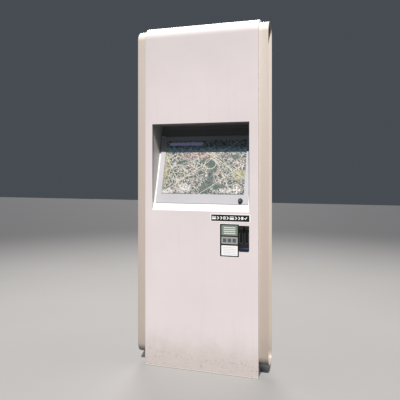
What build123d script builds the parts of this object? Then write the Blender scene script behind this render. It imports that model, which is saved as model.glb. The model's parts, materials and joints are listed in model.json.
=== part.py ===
from build123d import *
import os
from math import cos, radians, sin

# Free-standing outdoor card terminal with a touch screen. Millimetres, +Z up, front towards -Y.
# Inside the functions Y is measured from the cover's front face towards the rear;
# save() moves everything so that the origin is the centre of the footprint on the ground.

# ---- driving dimensions ----
HEIGHT = 2100.0            # top of the rolled cover
COVER_WIDTH = 712.0
BAND_WIDTH = 822.0         # over both trim bands
STANDOFF = 16.0            # cover face to band face
ROLL_R = 82.0              # outer radius of the cover's half-round top
BAND_BOTTOM = 58.0         # lowest point of the trim bands
CORE_DEPTH = 286.0         # rear face of the core's door frame
CORE_WIDTH = 652.0         # over the side panels
SHEET = 2.0
BAND_SHEET = 3.0
FRONT_REACH = 9.0          # card reader lip in front of the cover
REAR_REACH = 315.0         # latch lever behind the cover's face

# ---- screen recess and the sloped screen ----
RECESS_X0 = -307.0         # edges of the opening in the cover
RECESS_X1 = 302.0
RECESS_BOTTOM = 963.5
RECESS_TOP = 1492.0
RECESS_BACK = 196.0        # rear edge of the ceiling
WALL_X0 = -315.5           # inner faces of the side walls, wider than the opening
WALL_X1 = 310.5
TILT = 17.3                # screen plane from the vertical
BEZEL_Y = 41.0             # lower front edge of the bezel
BEZEL_Z = 1005.0
BEZEL_X = -9.0             # middle of the bezel
BEZEL_HALF = 295.0
BEZEL_LENGTH = 438.0
BEZEL_SHEET = 4.0
DISPLAY_X = -6.2           # middle of the glass
GLASS_HALF = 263.5
GLASS_LOW = 59.5
GLASS_HIGH = 412.5
GLASS_GAP = 0.5
PANEL_MARGIN = 6.0         # display panel beyond the glass
PANEL_BACK = -16.0
BOX_HALF = 230.0           # ribbed box behind the display
BOX_LOW = 80.0
BOX_HIGH = 395.0
BOX_BACK = -46.0
BOX_RIB = 4.0
RING_LOW = -3.0
RING_HIGH = 488.5
RING_FRONT = -9.0          # front face of the back ring, behind the bezel plane
RING_BACK = RING_FRONT - SHEET
WINDOW_HALF = 280.0        # hole in the ring for the display
WINDOW_LOW = 12.0
WINDOW_HIGH = 430.0
GASKET_HALF = 292.0
GASKET_WIDTH = 7.0
GASKET_HIGH = 418.0
LIFT_AXIS_U = 442.5        # screen hinge, along the slope
LIFT_AXIS_N = -4.8         # and behind the bezel plane
KNUCKLE = 112.0            # length of each of its five knuckles
KNUCKLE_GAP = 0.5
KNUCKLE_R = 4.0
LEAF_GAP = 1.5             # from a leaf's edge to the knuckles
LEAF_SHEET = 2.4
LIFT_PIN_R = 1.5
LOCK_X = 240.3
LOCK_U = 21.6
LOCK_R = 14.0
LOCK_FACE = 15.0           # front of the knob, out from the bezel
CAM_FRONT = -12.0
CAM_BACK = -15.0
CAM_REACH = 22.0
CAM_HALF = 6.0
KEY_HALF = 1.2
KEY_REACH = 5.5
KEY_DEPTH = 6.0
BOARD = (-120.0, 60.0, 150.0, 300.0)       # x0, x1, u0, u1 of the circuit board
BOARD_GAP = 6.4            # board behind the display's ribs
BOARD_SHEET = 1.6

# ---- core and door ----
CORE_HALF = CORE_WIDTH / 2
PANEL_IN = CORE_HALF - SHEET
CORE_FRONT = 18.0
FLOOR_Z = 70.0
FLOOR_SHEET = 3.0
ROOF_Z = 1990.0
POST_X = 15.0
POST_Y = 40.0
FRONT_POST_X = 5.0         # flat bars in front, beside the screen recess
RAIL_ZS = (300.0, 905.0, 1496.0, 1940.0)
TIE_BAR = (197.5, 211.5, 1455.0, 1505.0)   # y0, y1, z0, z1 of the bar behind the screen's top
STANDOFF_HALF = 15.0
ROOF_REAR = 306.0
DRIP = 14.0
PUCK_X = 180.0
PUCK_Y = 232.0
PUCK_R0 = 36.0
PUCK_R1 = 30.0
PUCK_HIGH = 18.0
COVER_FOOT = 2.0           # lower edge of the cover above the ground
COVER_LAP = 2.0            # cover over the reader's edge
SCREW_R = 6.0
SCREW_HIGH = 2.5
SCREW_YS = (38.0, 264.0)
SCREW_Z = 150.0
SCREWS = 6
SCREW_PITCH = 340.0
DOOR_HALF = 322.0
DOOR_LOW = 106.0
DOOR_HIGH = 1944.0
DOOR_FACE = 302.0
DOOR_EDGE = 14.0
DOOR_AXIS_X = 332.0
DOOR_AXIS_Y = 292.0
HINGE_ZS = (260.0, 1025.0, 1790.0)
HINGE_HEIGHT = 60.0
BARREL_R = 6.0
HINGE_PIN_R = 3.0
HINGE_HEAD_R = 5.0
LATCH_X = -270.0
LATCH_Z = 1050.0
LATCH_CAM_FRONT = 277.0
LATCH_CAM_BACK = 281.0
LATCH_CAM_REACH = 34.0
LEVER_REACH = 120.0
FRAME_HALF = 285.0         # door opening
FRAME_LOW = 150.0
FRAME_HIGH = 1900.0
SEAL_HALF = 308.0
SEAL_LOW = 122.0
SEAL_HIGH = 1928.0
SEAL_WIDTH = 12.0
STIFF_X = 200.0
STIFF_HALF = 14.0
STIFF_FRONT = 280.0
STIFF_LOW = 180.0
STIFF_HIGH = 1870.0
SPINDLE_R = 8.0
RUNNING = 0.05             # radial clearance of every running fit

# ---- card reader ----
READER_X0 = 241.0
READER_X1 = 302.0
READER_Z0 = 737.0
READER_Z1 = 884.0
READER_MID = (READER_X0 + READER_X1) / 2
THROAT_HALF = 3.0
THROAT_LOW = 772.0
THROAT_HIGH = 872.0
FLAP_X = READER_MID - 2.6
FLAP_Y = 18.0
FLAP_PIN_R = 0.9
FLAP_WIDTH = 5.2
FLAP_HALF = 0.6
READER_SHEET = 3.0
READER_SKIN = 2.3          # side wall of the moulding, proud of the body behind it
READER_DEPTH = 14.0
BODY_REAR = 130.0
CARD_PATH_HALF = 5.0
CARD_PATH_REAR = 112.0
RIB_X = 15.0               # middle of each U rib from the throat's middle
RIB_HALF = 7.5
RIB_LOW = 779.0
RIB_HIGH = 858.0
RIB_WALL = 2.0
PAD_LOW = 862.0
PAD_HIGH = 876.0
BRACKET_Y = 40.0
BRACKET_REAR = 120.0
BRACKET_LOW = 750.0
BRACKET_HIGH = 870.0

# ---- base ----
BASE_SHEET = 10.0
BASE_HALF = 300.0
BASE_FRONT = 20.0
BASE_REAR = 280.0
SKIRT_INSET = 4.0          # skirt's outer face inside the base plate's edge
SKIRT_SHEET = 3.0
FOOT_FRONT = 2.0
FOOT_REAR = 95.0
FOOT_NOSE = 29.0           # depth of the gusset above its slope
FOOT_SLOPE = 68.0          # height of the slope's end
FOOT_TOP = 84.0
BAR_FRONT = 6.0
ACCESS_R = 20.0            # hole in the floor plate above each anchor
GUSSET_X = 351.0           # inner face of each foot gusset
GUSSET_SHEET = 3.0
ANCHOR_X = 250.0
ANCHOR_YS = (55.0, 245.0)
ANCHOR_R = 7.0
CABLE_Y = 150.0
CABLE_R = 30.0
GLAND_R = 16.0
GLAND_BORE = 9.0
GLAND_HEX = 22.0
GLAND_HEX_HIGH = 10.0
GLAND_CAP = 16.0
GLAND_CAP_R0 = 19.0
GLAND_CAP_R1 = 13.0
GLAND_NUT = 8.0
GLAND_TAIL = 14.0

# ---- plates on the cover: x0, x1, z0, z1, thickness, corner radius ----
LABEL = (68.0, 309.0, 903.0, 950.0, 1.0, 1.5)
MARK = (126.0, 240.6, 699.0, 891.0, 1.2, 4.0)

# ---- equipment ----
PLATE_Y = 60.0             # front face of the mounting plate
PLATE_Z0 = 180.0
PLATE_Z1 = 560.0
RAIL_Z = 420.0             # middle of the mounting rail
RAIL_HALF = 250.0
RAIL_BACK = PLATE_Y + SHEET
RAIL_LIP = 1.0
RAIL_RISE = 12.0           # from its middle to the side flanges
RAIL_EDGE = 17.5           # from its middle to its edges
DEVICE_Y = 69.5            # front face of everything clipped to the rail
BREAKER_X0 = -200.0
BREAKER_X1 = -164.0
BREAKER_MID = (BREAKER_X0 + BREAKER_X1) / 2
TOGGLE_Y = 128.0
TOGGLE_Z = RAIL_Z
TOGGLE_R = 5.0
TOGGLE_PIN_R = 1.5
TOGGLE_ANGLE = 25.0
TERMINAL_PITCH = 14.0
SHELF_Z = 600.0
SHELF_REAR = 242.0
SHELF_LIP = 16.0
CASE_HALF = 120.0
CASE_Y0 = 80.0
CASE_Y1 = 225.0
CASE_HIGH = 60.0
FIN_PITCH = 16.3
FIN_HIGH = 30.0
DUCT_X0 = -306.0
DUCT_SIZE = 30.0
DUCT_Y0 = 212.0
DUCT_RUNS = ((80.0, 590.0), (612.0, 1880.0))
DUCT_SLOT = 16.0
DUCT_PITCH = 40.0
DUCT_END = 20.0

# ---- fan ----
FAN_Z = 1755.0
FAN_HALF = 60.0
FAN_Y0 = 262.0
FAN_Y1 = 300.0
DUCT_R = 57.0
HUB_R = 20.0
SHAFT_R = 2.5
BLADES = 7
BLADE_PITCH = 35.0
GUARD_WIRE = 1.3
GUARD_RINGS = 4
GUARD_R0 = 24.0
GUARD_STEP = 10.0
VENT_ZS = (275.0, FAN_Z)
VENT_HALF = 105.0
LOUVRE_HALF = 130.0
LOUVRE_TALL = 75.0         # half height of a vent cover
LOUVRE_HOLE = 52.0
SLATS = 7
SLAT_PITCH = 15.0
SLAT_DEPTH = 8.0
SLAT_RISE = 12.5

SHIFT_Y = -(REAR_REACH - FRONT_REACH) / 2
BAND_R = ROLL_R - STANDOFF
ROLL_Z = HEIGHT - ROLL_R
SLOPE = Plane(
    origin=(0, BEZEL_Y, BEZEL_Z),
    x_dir=(1, 0, 0),
    z_dir=(0, -cos(radians(TILT)), sin(radians(TILT))),
)


# ---- helpers ----
def block(x0, x1, y0, y1, z0, z1):
    """A box given by its limits."""
    return Pos((x0 + x1) / 2, (y0 + y1) / 2, (z0 + z1) / 2) * Box(x1 - x0, y1 - y0, z1 - z0)


def rod_x(radius, x0, x1, y, z):
    return Pos((x0 + x1) / 2, y, z) * Rot(0, 90, 0) * Cylinder(radius, x1 - x0)


def rod_y(radius, x, y0, y1, z):
    return Pos(x, (y0 + y1) / 2, z) * Rot(90, 0, 0) * Cylinder(radius, y1 - y0)


def rod_z(radius, x, y, z0, z1):
    return Pos(x, y, (z0 + z1) / 2) * Cylinder(radius, z1 - z0)


def side_profile(points, x0, x1):
    """A closed outline in the Y-Z plane, drawn out from x0 to x1."""
    face = Plane.YZ * make_face(Polyline(*points, close=True))
    return Pos(x0, 0, 0) * extrude(face, x1 - x0)


def on_slope(shape):
    """Places a shape drawn as (X, up the slope, out of the screen)."""
    return SLOPE.location * shape


def slope_point(u, n):
    """Y and Z of a point u up the slope and n in front of the bezel plane."""
    tilt = radians(TILT)
    return BEZEL_Y + u * sin(tilt) - n * cos(tilt), BEZEL_Z + u * cos(tilt) + n * sin(tilt)


def save(name, *shapes):
    shape = shapes[0] if len(shapes) == 1 else Compound(list(shapes))
    export_step(Pos(0, SHIFT_Y, 0) * shape, f"parts/{name}.step")


# ---- base and plinth ----
def base_plate():
    """Floor plate with the anchor holes and the cable hole."""
    plate = block(-BASE_HALF, BASE_HALF, BASE_FRONT, BASE_REAR, 0, BASE_SHEET)
    for x in (-ANCHOR_X, ANCHOR_X):
        for y in ANCHOR_YS:
            plate -= rod_z(ANCHOR_R, x, y, -1, BASE_SHEET + 1)
    plate -= rod_z(CABLE_R, 0, CABLE_Y, -1, BASE_SHEET + 1)
    return plate


def plinth_skirt():
    """Upright walls between the base plate and the floor plate."""
    half = BASE_HALF - SKIRT_INSET
    y0 = BASE_FRONT + SKIRT_INSET
    y1 = BASE_REAR - SKIRT_INSET
    t = SKIRT_SHEET
    outer = block(-half, half, y0, y1, BASE_SHEET, FLOOR_Z)
    return outer - block(-half + t, half - t, y0 + t, y1 - t, BASE_SHEET - 1, FLOOR_Z + 1)


def foot_gussets():
    """Triangular steel feet inside the cover's side edges, each with a bar to the base plate."""
    outline = [
        (FOOT_FRONT, 0),
        (FOOT_REAR, 0),
        (FOOT_NOSE, FOOT_SLOPE),
        (FOOT_NOSE, FOOT_TOP),
        (FOOT_FRONT, FOOT_TOP),
    ]
    feet = [side_profile(outline, x0, x0 + GUSSET_SHEET) for x0 in (-GUSSET_X - GUSSET_SHEET, GUSSET_X)]
    width = GUSSET_X - BASE_HALF
    bars = [block(x0, x0 + width, BAR_FRONT, FOOT_REAR, 0, BASE_SHEET) for x0 in (-GUSSET_X, BASE_HALF)]
    return feet + bars


def floor_plate():
    """Floor of the electronics space: gland hole, and access holes above the anchors."""
    plate = block(-PANEL_IN, PANEL_IN, CORE_FRONT, CORE_DEPTH - SHEET, FLOOR_Z, FLOOR_Z + FLOOR_SHEET)
    for x in (-ANCHOR_X, ANCHOR_X):
        for y in ANCHOR_YS:
            plate -= rod_z(ACCESS_R, x, y, FLOOR_Z - 1, FLOOR_Z + FLOOR_SHEET + 1)
    return plate - rod_z(GLAND_R, 0, CABLE_Y, FLOOR_Z - 1, FLOOR_Z + FLOOR_SHEET + 1)


def cable_gland():
    """Threaded body through the floor plate, hexagon above it, lock nut below, bore for the lead."""
    low = FLOOR_Z
    top = FLOOR_Z + FLOOR_SHEET
    cap = Cone(GLAND_CAP_R0, GLAND_CAP_R1, GLAND_CAP, align=(Align.CENTER, Align.CENTER, Align.MIN))
    body = rod_z(GLAND_R, 0, CABLE_Y, low - GLAND_TAIL, top)
    body += Pos(0, CABLE_Y, top) * extrude(RegularPolygon(GLAND_HEX, 6), GLAND_HEX_HIGH)
    body += Pos(0, CABLE_Y, top + GLAND_HEX_HIGH) * cap
    body += Pos(0, CABLE_Y, low - GLAND_NUT) * extrude(RegularPolygon(GLAND_HEX, 6), GLAND_NUT)
    return body - rod_z(GLAND_BORE, 0, CABLE_Y, low - GLAND_TAIL - 1, top + GLAND_HEX_HIGH + GLAND_CAP + 1)


# ---- frame ----
def frame_posts():
    """Flat bars in front and rectangular tubes behind, from the floor plate to the roof."""
    z0 = FLOOR_Z + FLOOR_SHEET
    posts = []
    for x0 in (-PANEL_IN, PANEL_IN - FRONT_POST_X):
        posts.append(block(x0, x0 + FRONT_POST_X, CORE_FRONT, CORE_FRONT + POST_Y, z0, ROOF_Z))
    for x0 in (-PANEL_IN, PANEL_IN - POST_X):
        x1 = x0 + POST_X
        y1 = CORE_DEPTH - SHEET
        y0 = y1 - POST_Y
        tube = block(x0, x1, y0, y1, z0, ROOF_Z)
        posts.append(tube - block(x0 + SHEET, x1 - SHEET, y0 + SHEET, y1 - SHEET, z0 - 1, ROOF_Z + 1))
    return posts


def cross_rail(z0):
    """Rectangular tube between the two front posts."""
    half = PANEL_IN - FRONT_POST_X
    rail = block(-half, half, CORE_FRONT, CORE_FRONT + POST_X, z0, z0 + POST_Y)
    y0 = CORE_FRONT + SHEET
    return rail - block(-half - 1, half + 1, y0, y0 + POST_X - 2 * SHEET, z0 + SHEET, z0 + POST_Y - SHEET)


def cross_rails():
    """The front rails, and a bar behind the top of the screen from side panel to side panel."""
    rails = [cross_rail(z0) for z0 in RAIL_ZS]
    return rails + [block(-PANEL_IN, PANEL_IN, *TIE_BAR)]


def cover_standoffs():
    """Spacer blocks between the cover's rear face and the front rails."""
    places = [(x, z) for z in RAIL_ZS for x in (-220, -60)]
    places += [(x, z) for z in (RAIL_ZS[0], RAIL_ZS[2], RAIL_ZS[3]) for x in (100, 260)]
    half = STANDOFF_HALF
    mid = POST_Y / 2
    return [block(x - half, x + half, SHEET, CORE_FRONT, z + mid - half, z + mid + half) for x, z in places]


# ---- outer sheets ----
def roll_line(inset):
    """Side outline of the front cover's sheet, moved inwards by inset."""
    radius = ROLL_R - inset
    leg = ROOF_Z + 2 * SHEET
    line = Polyline((inset, COVER_FOOT), (inset, ROLL_Z))
    arc = ThreePointArc((inset, ROLL_Z), (ROLL_R, ROLL_Z + radius), (ROLL_R + radius, ROLL_Z))
    tail = Line((ROLL_R + radius, ROLL_Z), (ROLL_R + radius, leg))
    return line, arc, tail


def roll_ring(depth, x0, x1):
    """The cover's outline given a thickness of depth, drawn out from x0 to x1."""
    outer = roll_line(0)
    inner = roll_line(depth)
    foot = Line(outer[0] @ 0, inner[0] @ 0)
    heel = Line(outer[2] @ 1, inner[2] @ 1)
    face = Plane.YZ * make_face([*outer, *inner, foot, heel])
    return Pos(x0, 0, 0) * extrude(face, x1 - x0)


def front_cover():
    """One sheet: flat front, half-round top, short rear leg, and returned side edges."""
    half = COVER_WIDTH / 2
    sheet = roll_ring(SHEET, -half, half)
    sheet += roll_ring(STANDOFF, -half, -half + SHEET)
    sheet += roll_ring(STANDOFF, half - SHEET, half)
    sheet -= block(RECESS_X0, RECESS_X1, -1, SHEET + 1, RECESS_BOTTOM, RECESS_TOP)
    lap = COVER_LAP
    sheet -= block(READER_X0 + lap, READER_X1 - lap, -1, SHEET + 1, READER_Z0 + lap, READER_Z1 - lap)
    return sheet


def band_loop(radius, x0, x1):
    """Stadium outline of the trim band, filled, drawn out from x0 to x1."""
    low = BAND_BOTTOM + BAND_R
    body = block(x0, x1, ROLL_R - radius, ROLL_R + radius, low, ROLL_Z)
    return body + rod_x(radius, x0, x1, ROLL_R, low) + rod_x(radius, x0, x1, ROLL_R, ROLL_Z)


def trim_band(side):
    """Rolled strip closed into a loop, standing out from the side panel."""
    x0, x1 = sorted((side * CORE_HALF, side * BAND_WIDTH / 2))
    return band_loop(BAND_R, x0, x1) - band_loop(BAND_R - BAND_SHEET, x0 - 1, x1 + 1)


def side_panel(side):
    """Flat side of the core, rounded where the trim band goes round it."""
    x0, x1 = sorted((side * PANEL_IN, side * CORE_HALF))
    panel = block(x0, x1, STANDOFF, CORE_DEPTH, FLOOR_Z, ROOF_Z)
    return panel + band_loop(BAND_R, x0, x1)


def roof_plate():
    """Flat roof over the core with a drip edge above the door."""
    roof = block(-PANEL_IN, PANEL_IN, CORE_FRONT, ROOF_REAR, ROOF_Z, ROOF_Z + SHEET)
    return roof + block(-PANEL_IN, PANEL_IN, ROOF_REAR - SHEET, ROOF_REAR, ROOF_Z - DRIP, ROOF_Z)


def antenna_puck():
    """Low round antenna cover on the roof, with a rounded upper edge."""
    cone = Cone(PUCK_R0, PUCK_R1, PUCK_HIGH, align=(Align.CENTER, Align.CENTER, Align.MIN))
    puck = Pos(PUCK_X, PUCK_Y, ROOF_Z + SHEET) * cone
    return fillet(puck.edges().group_by(Axis.Z)[-1], 5)


def panel_screws():
    """Low round screw heads along both edges of each side panel."""
    heads = []
    for side in (-1, 1):
        x0, x1 = sorted((side * CORE_HALF, side * (CORE_HALF + SCREW_HIGH)))
        for y in SCREW_YS:
            for step in range(SCREWS):
                heads.append(rod_x(SCREW_R, x0, x1, y, SCREW_Z + step * SCREW_PITCH))
    return heads


# ---- screen recess ----
def recess_walls():
    """Ceiling, and two flat side walls from the cover back to the sloped ring."""
    outline = [
        (SHEET, RECESS_BOTTOM - SHEET),
        (SHEET, RECESS_TOP + SHEET),
        (RECESS_BACK, RECESS_TOP + SHEET),
        slope_point(RING_HIGH, RING_BACK),
        slope_point(RING_LOW - SHEET, RING_BACK),
    ]
    ceiling = block(WALL_X0, WALL_X1, SHEET, RECESS_BACK, RECESS_TOP, RECESS_TOP + SHEET)
    sides = [side_profile(outline, x0, x0 + SHEET) for x0 in (WALL_X0 - SHEET, WALL_X1)]
    return [ceiling, *sides]


def recess_sill():
    """Sloped sill from the cover up to the bezel, with a short ledge under the back ring."""
    ledge = slope_point(RING_LOW, 0)
    outline = [
        (SHEET, RECESS_BOTTOM),
        ledge,
        slope_point(RING_LOW, RING_BACK),
        slope_point(RING_LOW - SHEET, RING_BACK),
        (ledge[0] + 0.4, ledge[1] - 2.4),
        (SHEET, RECESS_BOTTOM - 2.5),
    ]
    return side_profile(outline, WALL_X0, WALL_X1)


def across_bezel(half, u0, u1, n0, n1):
    """A block centred on the bezel's middle, in the slope's directions."""
    return block(BEZEL_X - half, BEZEL_X + half, u0, u1, n0, n1)


def recess_ring():
    """Flat ring behind the bezel's edges; its window lets the display swing through."""
    ring = block(WALL_X0, WALL_X1, RING_LOW, RING_HIGH, RING_BACK, RING_FRONT)
    return on_slope(ring - across_bezel(WINDOW_HALF, WINDOW_LOW, WINDOW_HIGH, RING_BACK - 1, RING_FRONT + 1))


def bezel_gasket():
    """Foam strip on the ring, along the bezel's sides and foot."""
    front = -BEZEL_SHEET - 0.2
    inner = GASKET_HALF - GASKET_WIDTH
    strip = across_bezel(GASKET_HALF, 2, GASKET_HIGH, RING_FRONT, front)
    return on_slope(strip - across_bezel(inner, 2 + GASKET_WIDTH, GASKET_HIGH + 1, RING_FRONT - 1, front + 1))


# ---- screen carrier ----
def glass_limits(margin):
    """Limits across and up the slope of the glass, grown by margin."""
    half = GLASS_HALF + margin
    return DISPLAY_X - half, DISPLAY_X + half, GLASS_LOW - margin, GLASS_HIGH + margin


def screen_bezel():
    """Sloped front plate with a window for the glass and a hole for the lock."""
    plate = across_bezel(BEZEL_HALF, 0, BEZEL_LENGTH, -BEZEL_SHEET, 0)
    plate -= block(*glass_limits(GLASS_GAP), -BEZEL_SHEET - 1, 1)
    plate -= rod_z(SPINDLE_R + RUNNING, LOCK_X, LOCK_U, -BEZEL_SHEET - 1, 1)
    return on_slope(plate)


def touch_glass():
    return on_slope(block(*glass_limits(0), -BEZEL_SHEET, 0))


def lcd_panel():
    return on_slope(block(*glass_limits(PANEL_MARGIN), PANEL_BACK, -BEZEL_SHEET))


def lcd_back_box():
    """Ribbed metal back of the display."""
    box = block(DISPLAY_X - BOX_HALF, DISPLAY_X + BOX_HALF, BOX_LOW, BOX_HIGH, BOX_BACK, PANEL_BACK)
    for step in range(9):
        x = DISPLAY_X - 200 + step * 50
        box += block(x - BOX_RIB, x + BOX_RIB, BOX_LOW + 15, BOX_HIGH - 15, BOX_BACK - BOX_RIB, BOX_BACK)
    return on_slope(box)


def controller_board():
    """Circuit board on spacers with a few components and connectors."""
    back = BOX_BACK - BOX_RIB
    x0, x1, u0, u1 = BOARD
    face = back - BOARD_GAP - BOARD_SHEET
    inset = 10
    board = block(x0, x1, u0, u1, face, back - BOARD_GAP)
    for x in (x0 + inset, x1 - inset):
        for u in (u0 + inset, u1 - inset):
            board += rod_z(3.5, x, u, back - BOARD_GAP - 0.6, back)
    for step in range(4):
        x = x0 + 25 + step * 38
        board += block(x, x + 22, u0 + 30, u0 + 54, face - 3, face)
        board += block(x, x + 26, u1 - 38, u1 - 24, face - 8, face)
    return on_slope(board)


# ---- screen hinge: three fixed knuckles and two moving ones on one pin ----
def hinge_knuckles(leaf, indexes, leaf_edge, back, front, hole):
    """Adds knuckles to a leaf; knuckle 0 is the one in the middle."""
    u0, u1 = sorted((leaf_edge, LIFT_AXIS_U))
    for index in indexes:
        x0 = BEZEL_X + index * KNUCKLE - KNUCKLE / 2 + KNUCKLE_GAP / 2
        x1 = x0 + KNUCKLE - KNUCKLE_GAP
        leaf += rod_x(KNUCKLE_R, x0, x1, LIFT_AXIS_U, LIFT_AXIS_N)
        leaf += block(x0, x1, u0, u1, back, front)
    half = BEZEL_HALF + 1
    return on_slope(leaf - rod_x(hole, BEZEL_X - half, BEZEL_X + half, LIFT_AXIS_U, LIFT_AXIS_N))


def screen_hinge_fixed():
    """Wide head plate on the ring that closes the space above the bezel, with its knuckles."""
    low = LIFT_AXIS_U + KNUCKLE_R + LEAF_GAP
    front = RING_FRONT + LEAF_SHEET
    leaf = block(WALL_X0 + 1, WALL_X1 - 1, low, RING_HIGH, RING_FRONT, front)
    return hinge_knuckles(leaf, (-2, 0, 2), low + 1, RING_FRONT, front, LIFT_PIN_R)


def screen_hinge_moving():
    """Leaf behind the bezel's top edge, with its knuckles."""
    high = LIFT_AXIS_U - KNUCKLE_R - LEAF_GAP
    back = -BEZEL_SHEET - LEAF_SHEET
    leaf = across_bezel(WINDOW_HALF, GLASS_HIGH + PANEL_MARGIN + 3, high, back, -BEZEL_SHEET)
    return hinge_knuckles(leaf, (-1, 1), high - 1, back, -BEZEL_SHEET, LIFT_PIN_R + RUNNING)


def screen_hinge_pin():
    half = WINDOW_HALF - 1
    return on_slope(rod_x(LIFT_PIN_R, BEZEL_X - half, BEZEL_X + half, LIFT_AXIS_U, LIFT_AXIS_N))


# ---- screen lock ----
def lock_knob():
    """Round lock body with a key slot, and its spindle through the bezel."""
    knob = rod_z(LOCK_R, LOCK_X, LOCK_U, 0.3, LOCK_FACE)
    knob = chamfer(knob.edges().group_by(Axis.Z)[-1], 2)
    knob -= rod_z(LOCK_R - 5, LOCK_X, LOCK_U, LOCK_FACE - 1.5, LOCK_FACE + 1)
    key = block(-KEY_HALF, KEY_HALF, -KEY_REACH, KEY_REACH, LOCK_FACE - KEY_DEPTH, LOCK_FACE + 1)
    knob -= Pos(LOCK_X, LOCK_U, 0) * key
    return on_slope(knob + rod_z(SPINDLE_R, LOCK_X, LOCK_U, CAM_FRONT, 1))


def lock_cam():
    """Tongue on the spindle; a quarter turn takes it behind the ring's lower edge."""
    cam = rod_z(SPINDLE_R, LOCK_X, LOCK_U, CAM_BACK, CAM_FRONT)
    u0, u1 = LOCK_U - CAM_HALF, LOCK_U + CAM_HALF
    return on_slope(cam + block(LOCK_X - CAM_REACH, LOCK_X, u0, u1, CAM_BACK, CAM_FRONT))


# ---- plates on the cover ----
def rounded_plate(x0, x1, z0, z1, thickness, radius):
    plate = block(x0, x1, -thickness, 0, z0, z1)
    return fillet(plate.edges().filter_by(Axis.Y), radius)


# ---- card reader ----
def reader_bezel():
    """Moulded front: central throat, two U-shaped ribs, thumb pads and a sloped lower lip."""
    front = -READER_SHEET
    skin = READER_SKIN
    shell = block(READER_X0, READER_X1, front, 0, READER_Z0, READER_Z1)
    shell += block(READER_X0 + skin, READER_X1 - skin, 0, READER_DEPTH, READER_Z0 + skin, READER_Z1 - skin)
    lip = [
        (front, READER_Z0),
        (-FRONT_REACH, READER_Z0 + 3),
        (-FRONT_REACH, READER_Z0 + 9),
        (front, READER_Z0 + 20),
    ]
    shell += side_profile(lip, READER_X0 + 3, READER_X1 - 3)
    for side in (-1, 1):
        x0 = READER_MID + side * RIB_X - RIB_HALF
        x1 = x0 + 2 * RIB_HALF
        wall = RIB_WALL
        rib = block(x0, x1, front - 2, front, RIB_LOW, RIB_HIGH)
        shell += rib - block(x0 + wall, x1 - wall, front - 3, front + 1, RIB_LOW + wall, RIB_HIGH + 1)
        shell -= block(x0 + 3, x1 - 3, front - 1, front + 1.5, RIB_LOW + 5, RIB_HIGH - wall)
        shell += block(x0, x1, front - 1.2, front, PAD_LOW, PAD_HIGH)
    x0, x1 = READER_MID - THROAT_HALF, READER_MID + THROAT_HALF
    return shell - block(x0, x1, -FRONT_REACH - 3, READER_DEPTH + 1, THROAT_LOW, THROAT_HIGH)


def reader_body():
    """Electronics body behind the bezel, with the card's path and the flap's pivot holes."""
    x0, x1 = READER_X0 + READER_SKIN, READER_X1 - READER_SKIN
    body = block(x0, x1, READER_DEPTH, BODY_REAR, READER_Z0 + 4, READER_Z1 - 4)
    x0, x1 = READER_MID - CARD_PATH_HALF, READER_MID + CARD_PATH_HALF
    body -= block(x0, x1, READER_DEPTH - 1, CARD_PATH_REAR, THROAT_LOW - 1, THROAT_HIGH + 1)
    return body - rod_z(FLAP_PIN_R + RUNNING, FLAP_X, FLAP_Y, THROAT_LOW - 8, READER_Z1 - 3.5)


def reader_shutter():
    """Narrow dust flap across the throat, on a vertical pin."""
    y0, y1 = FLAP_Y - FLAP_HALF, FLAP_Y + FLAP_HALF
    flap = block(FLAP_X, FLAP_X + FLAP_WIDTH, y0, y1, THROAT_LOW, THROAT_HIGH)
    return flap + rod_z(FLAP_PIN_R, FLAP_X, FLAP_Y, THROAT_LOW - 7, THROAT_HIGH + 7)


def reader_bracket():
    """Angle bracket from the front post to the reader's side."""
    y0, y1 = BRACKET_Y, BRACKET_REAR
    bracket = block(READER_X1 - READER_SKIN, READER_X1, y0, y1, BRACKET_LOW, BRACKET_HIGH)
    return bracket + block(READER_X1, PANEL_IN - FRONT_POST_X, y0, y0 + 3, BRACKET_LOW, BRACKET_HIGH)


# ---- rear door ----
def rear_frame():
    """Flat frame round the door opening, between the side panels."""
    frame = block(-PANEL_IN, PANEL_IN, CORE_DEPTH - SHEET, CORE_DEPTH, FLOOR_Z, ROOF_Z)
    y0 = CORE_DEPTH - SHEET - 1
    return frame - block(-FRAME_HALF, FRAME_HALF, y0, CORE_DEPTH + 1, FRAME_LOW, FRAME_HIGH)


def rear_door():
    """Tray-shaped sheet door with two vent windows and the latch hole."""
    inner = DOOR_FACE - SHEET
    edge = DOOR_FACE - DOOR_EDGE
    door = block(-DOOR_HALF, DOOR_HALF, edge, DOOR_FACE, DOOR_LOW, DOOR_HIGH)
    half = DOOR_HALF - SHEET
    door -= block(-half, half, edge - 1, inner, DOOR_LOW + SHEET, DOOR_HIGH - SHEET)
    hole = LOUVRE_HOLE + 3
    for z in VENT_ZS:
        door -= block(-VENT_HALF, VENT_HALF, inner - 1, DOOR_FACE + 1, z - hole, z + hole)
    return door - rod_y(SPINDLE_R + RUNNING, LATCH_X, inner - 1, DOOR_FACE + 1, LATCH_Z)


def louvre(z):
    """Vent cover for the outside of the door: a frame and slanted slats."""
    face = DOOR_FACE
    plate = block(-LOUVRE_HALF, LOUVRE_HALF, face, face + SHEET, z - LOUVRE_TALL, z + LOUVRE_TALL)
    plate -= block(-VENT_HALF, VENT_HALF, face - 1, face + 3, z - LOUVRE_HOLE, z + LOUVRE_HOLE)
    for step in range(SLATS):
        low = z - LOUVRE_HOLE + step * SLAT_PITCH
        slat = [
            (face, low + SLAT_RISE),
            (face + SLAT_DEPTH, low),
            (face + SLAT_DEPTH, low + SHEET),
            (face, low + SLAT_RISE + SHEET),
        ]
        plate += side_profile(slat, -VENT_HALF - 0.5, VENT_HALF + 0.5)
    return plate


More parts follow.
